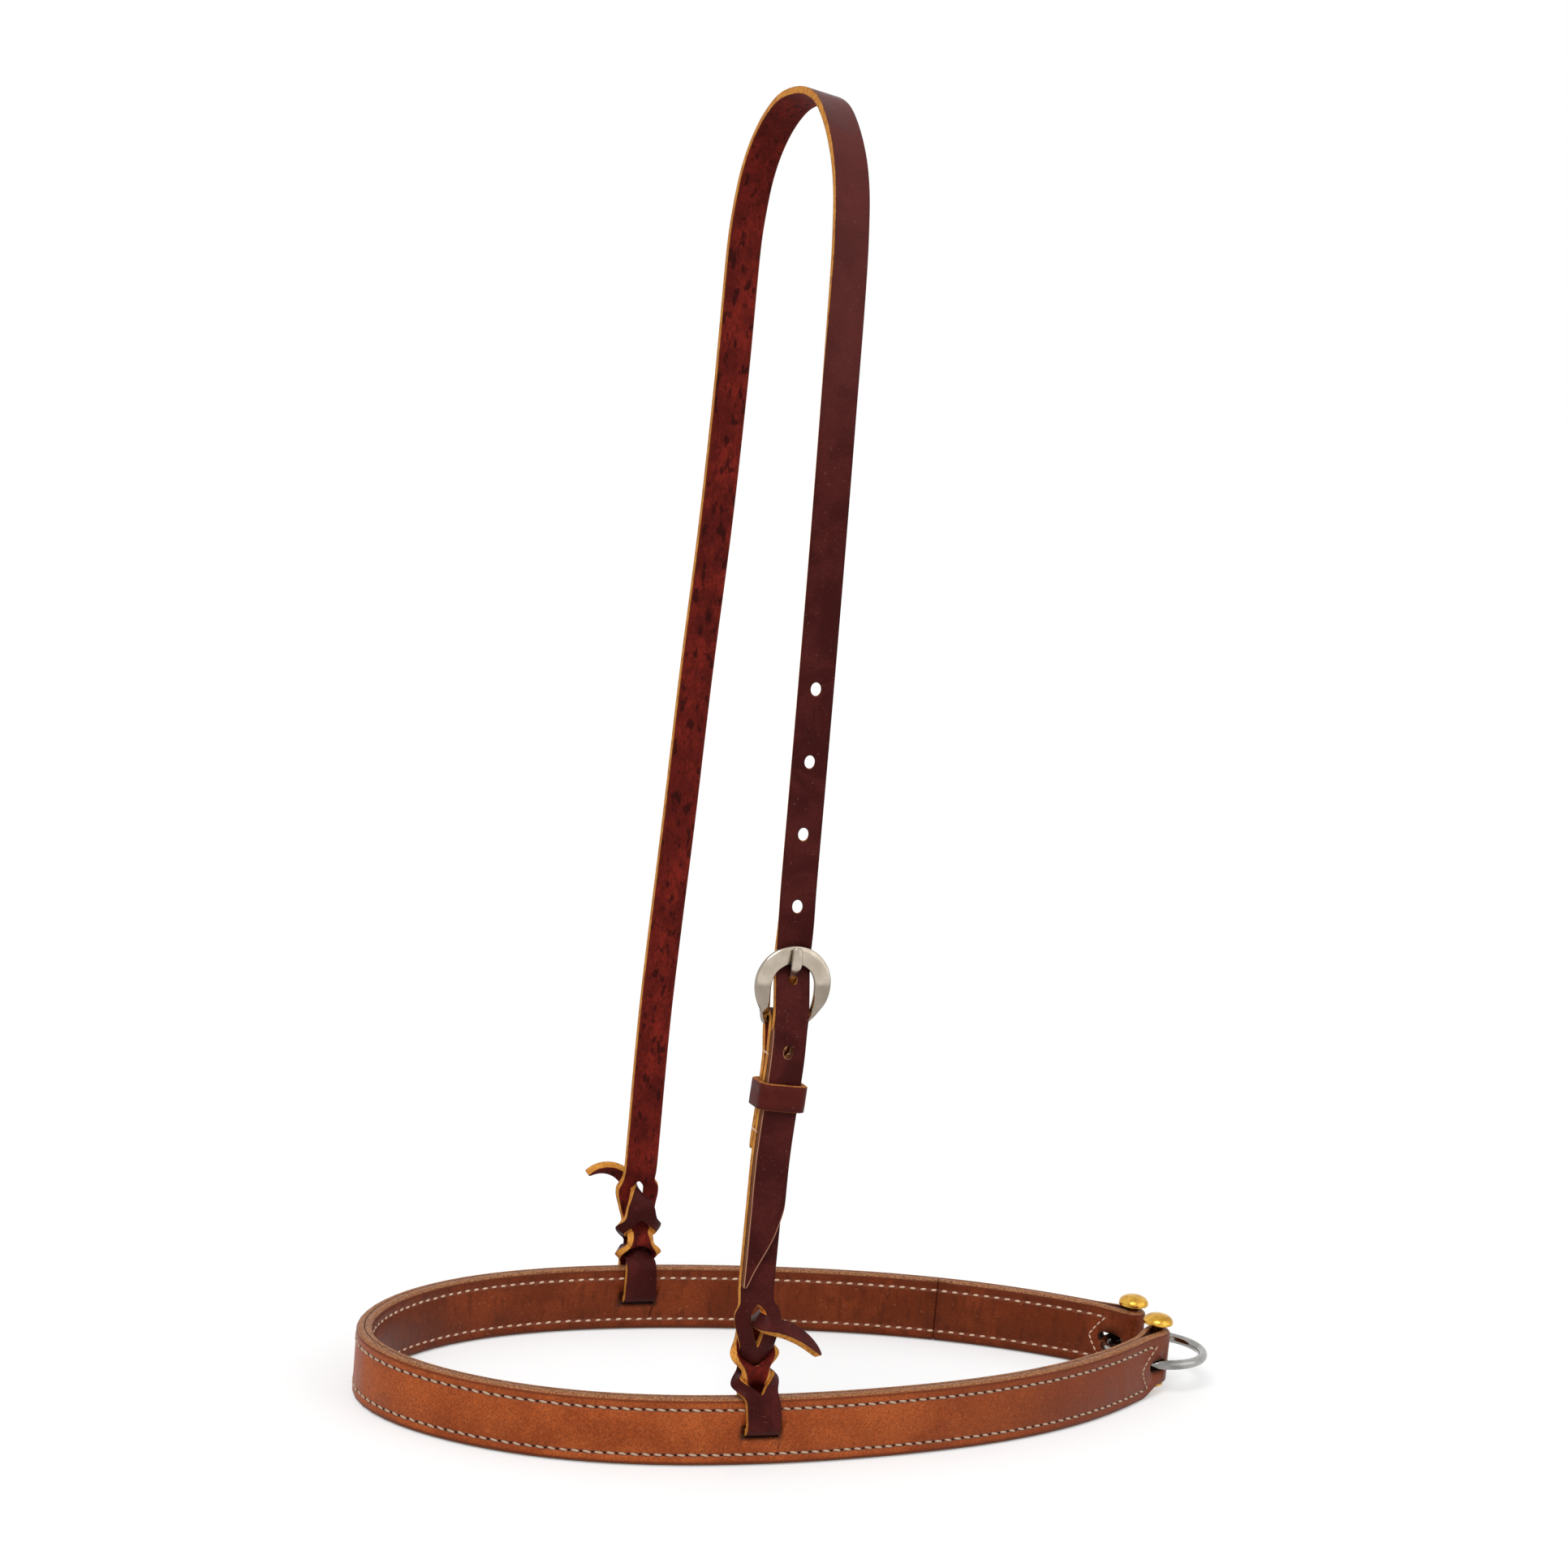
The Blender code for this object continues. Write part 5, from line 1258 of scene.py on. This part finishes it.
view = {"azimuth": 19.419, "elevation": 9.435, "roll": 4.94, "distance": 1.4526,
        "target": (-0.02477, 0.0, 0.23577), "lens": 89.62}
studio = {
    "sky": 0.62, "floor": (0.66, 0.66, 0.66), "floorGlow": 0.36, "floorSize": 12.0, "floorDown": 0.0003,
    "suns": (("keyLight", 1.6, (-0.5, -0.75, 1.0), 30.0), ("fillLight", 0.5, (0.9, -0.8, 0.5), 60.0)),
}


def addCamera(look):
    az, el, roll = (math.radians(look[word]) for word in ("azimuth", "elevation", "roll"))
    ahead = Vector((math.sin(az) * math.cos(el), math.cos(az) * math.cos(el), -math.sin(el)))
    side = ahead.cross(Vector((0, 0, 1))).normalized()
    up = side.cross(ahead)
    right = side * math.cos(roll) + up * math.sin(roll)
    top = up * math.cos(roll) - side * math.sin(roll)
    camera = bpy.data.cameras.new("camera")
    camera.sensor_width = 36.0
    camera.lens = look["lens"]
    camera.clip_start = 0.05
    obj = addObject("camera", camera)
    obj.matrix_world = Matrix((right, top, -ahead)).transposed().to_4x4()
    obj.matrix_world.translation = Vector(look["target"]) - ahead * look["distance"]
    bpy.context.scene.camera = obj


def addSun(name, strength, towards, softness):
    light = bpy.data.lights.new(name, 'SUN')
    light.energy = strength
    light.angle = math.radians(softness)
    addObject(name, light).rotation_euler = Vector(towards).to_track_quat('Z', 'Y').to_euler()


def seenDirectly(tree):
    rays = addNode(tree, 'ShaderNodeLightPath', {})
    total = maths(tree, 'MAXIMUM', rays["Is Camera Ray"], rays["Is Glossy Ray"])
    return maths(tree, 'MAXIMUM', total, rays["Is Transmission Ray"])


def makeWorld(look):
    # white to the camera and in the metal, softer as a light
    world = bpy.data.worlds.new("studio")
    world.use_nodes = True
    tree = world.node_tree
    mix = addNode(tree, 'ShaderNodeMix', {0: seenDirectly(tree), 2: look["sky"], 3: 1.0}, data_type='FLOAT')
    feed(tree, tree.nodes["Background"], {"Color": (1.0, 1.0, 1.0, 1.0), "Strength": mix[0]})
    bpy.context.scene.world = world


def makeFloor(look):
    bm = bmesh.new()
    bmesh.ops.create_grid(bm, x_segments=1, y_segments=1, size=look["floorSize"] / 2)
    bmesh.ops.translate(bm, verts=bm.verts, vec=(0, 0, -look["floorDown"]))
    mat = bpy.data.materials.new("paleFloor")
    mat.use_nodes = True
    tree = mat.node_tree
    feed(tree, tree.nodes["Principled BSDF"], {
        "Base Color": (*look["floor"], 1.0), "Roughness": 0.9, "Specular IOR Level": 0.0,
        "Emission Color": (1.0, 1.0, 1.0, 1.0),
        "Emission Strength": times(tree, seenDirectly(tree), look["floorGlow"])})
    obj = addObject("floor", toMesh("floor", bm))
    obj.data.materials.append(mat)


addCamera(view)
for sun in studio["suns"]:
    addSun(*sun)
makeWorld(studio)
makeFloor(studio)
bpy.context.scene.view_settings.view_transform = 'Standard'
print("camera, lights and floor placed")
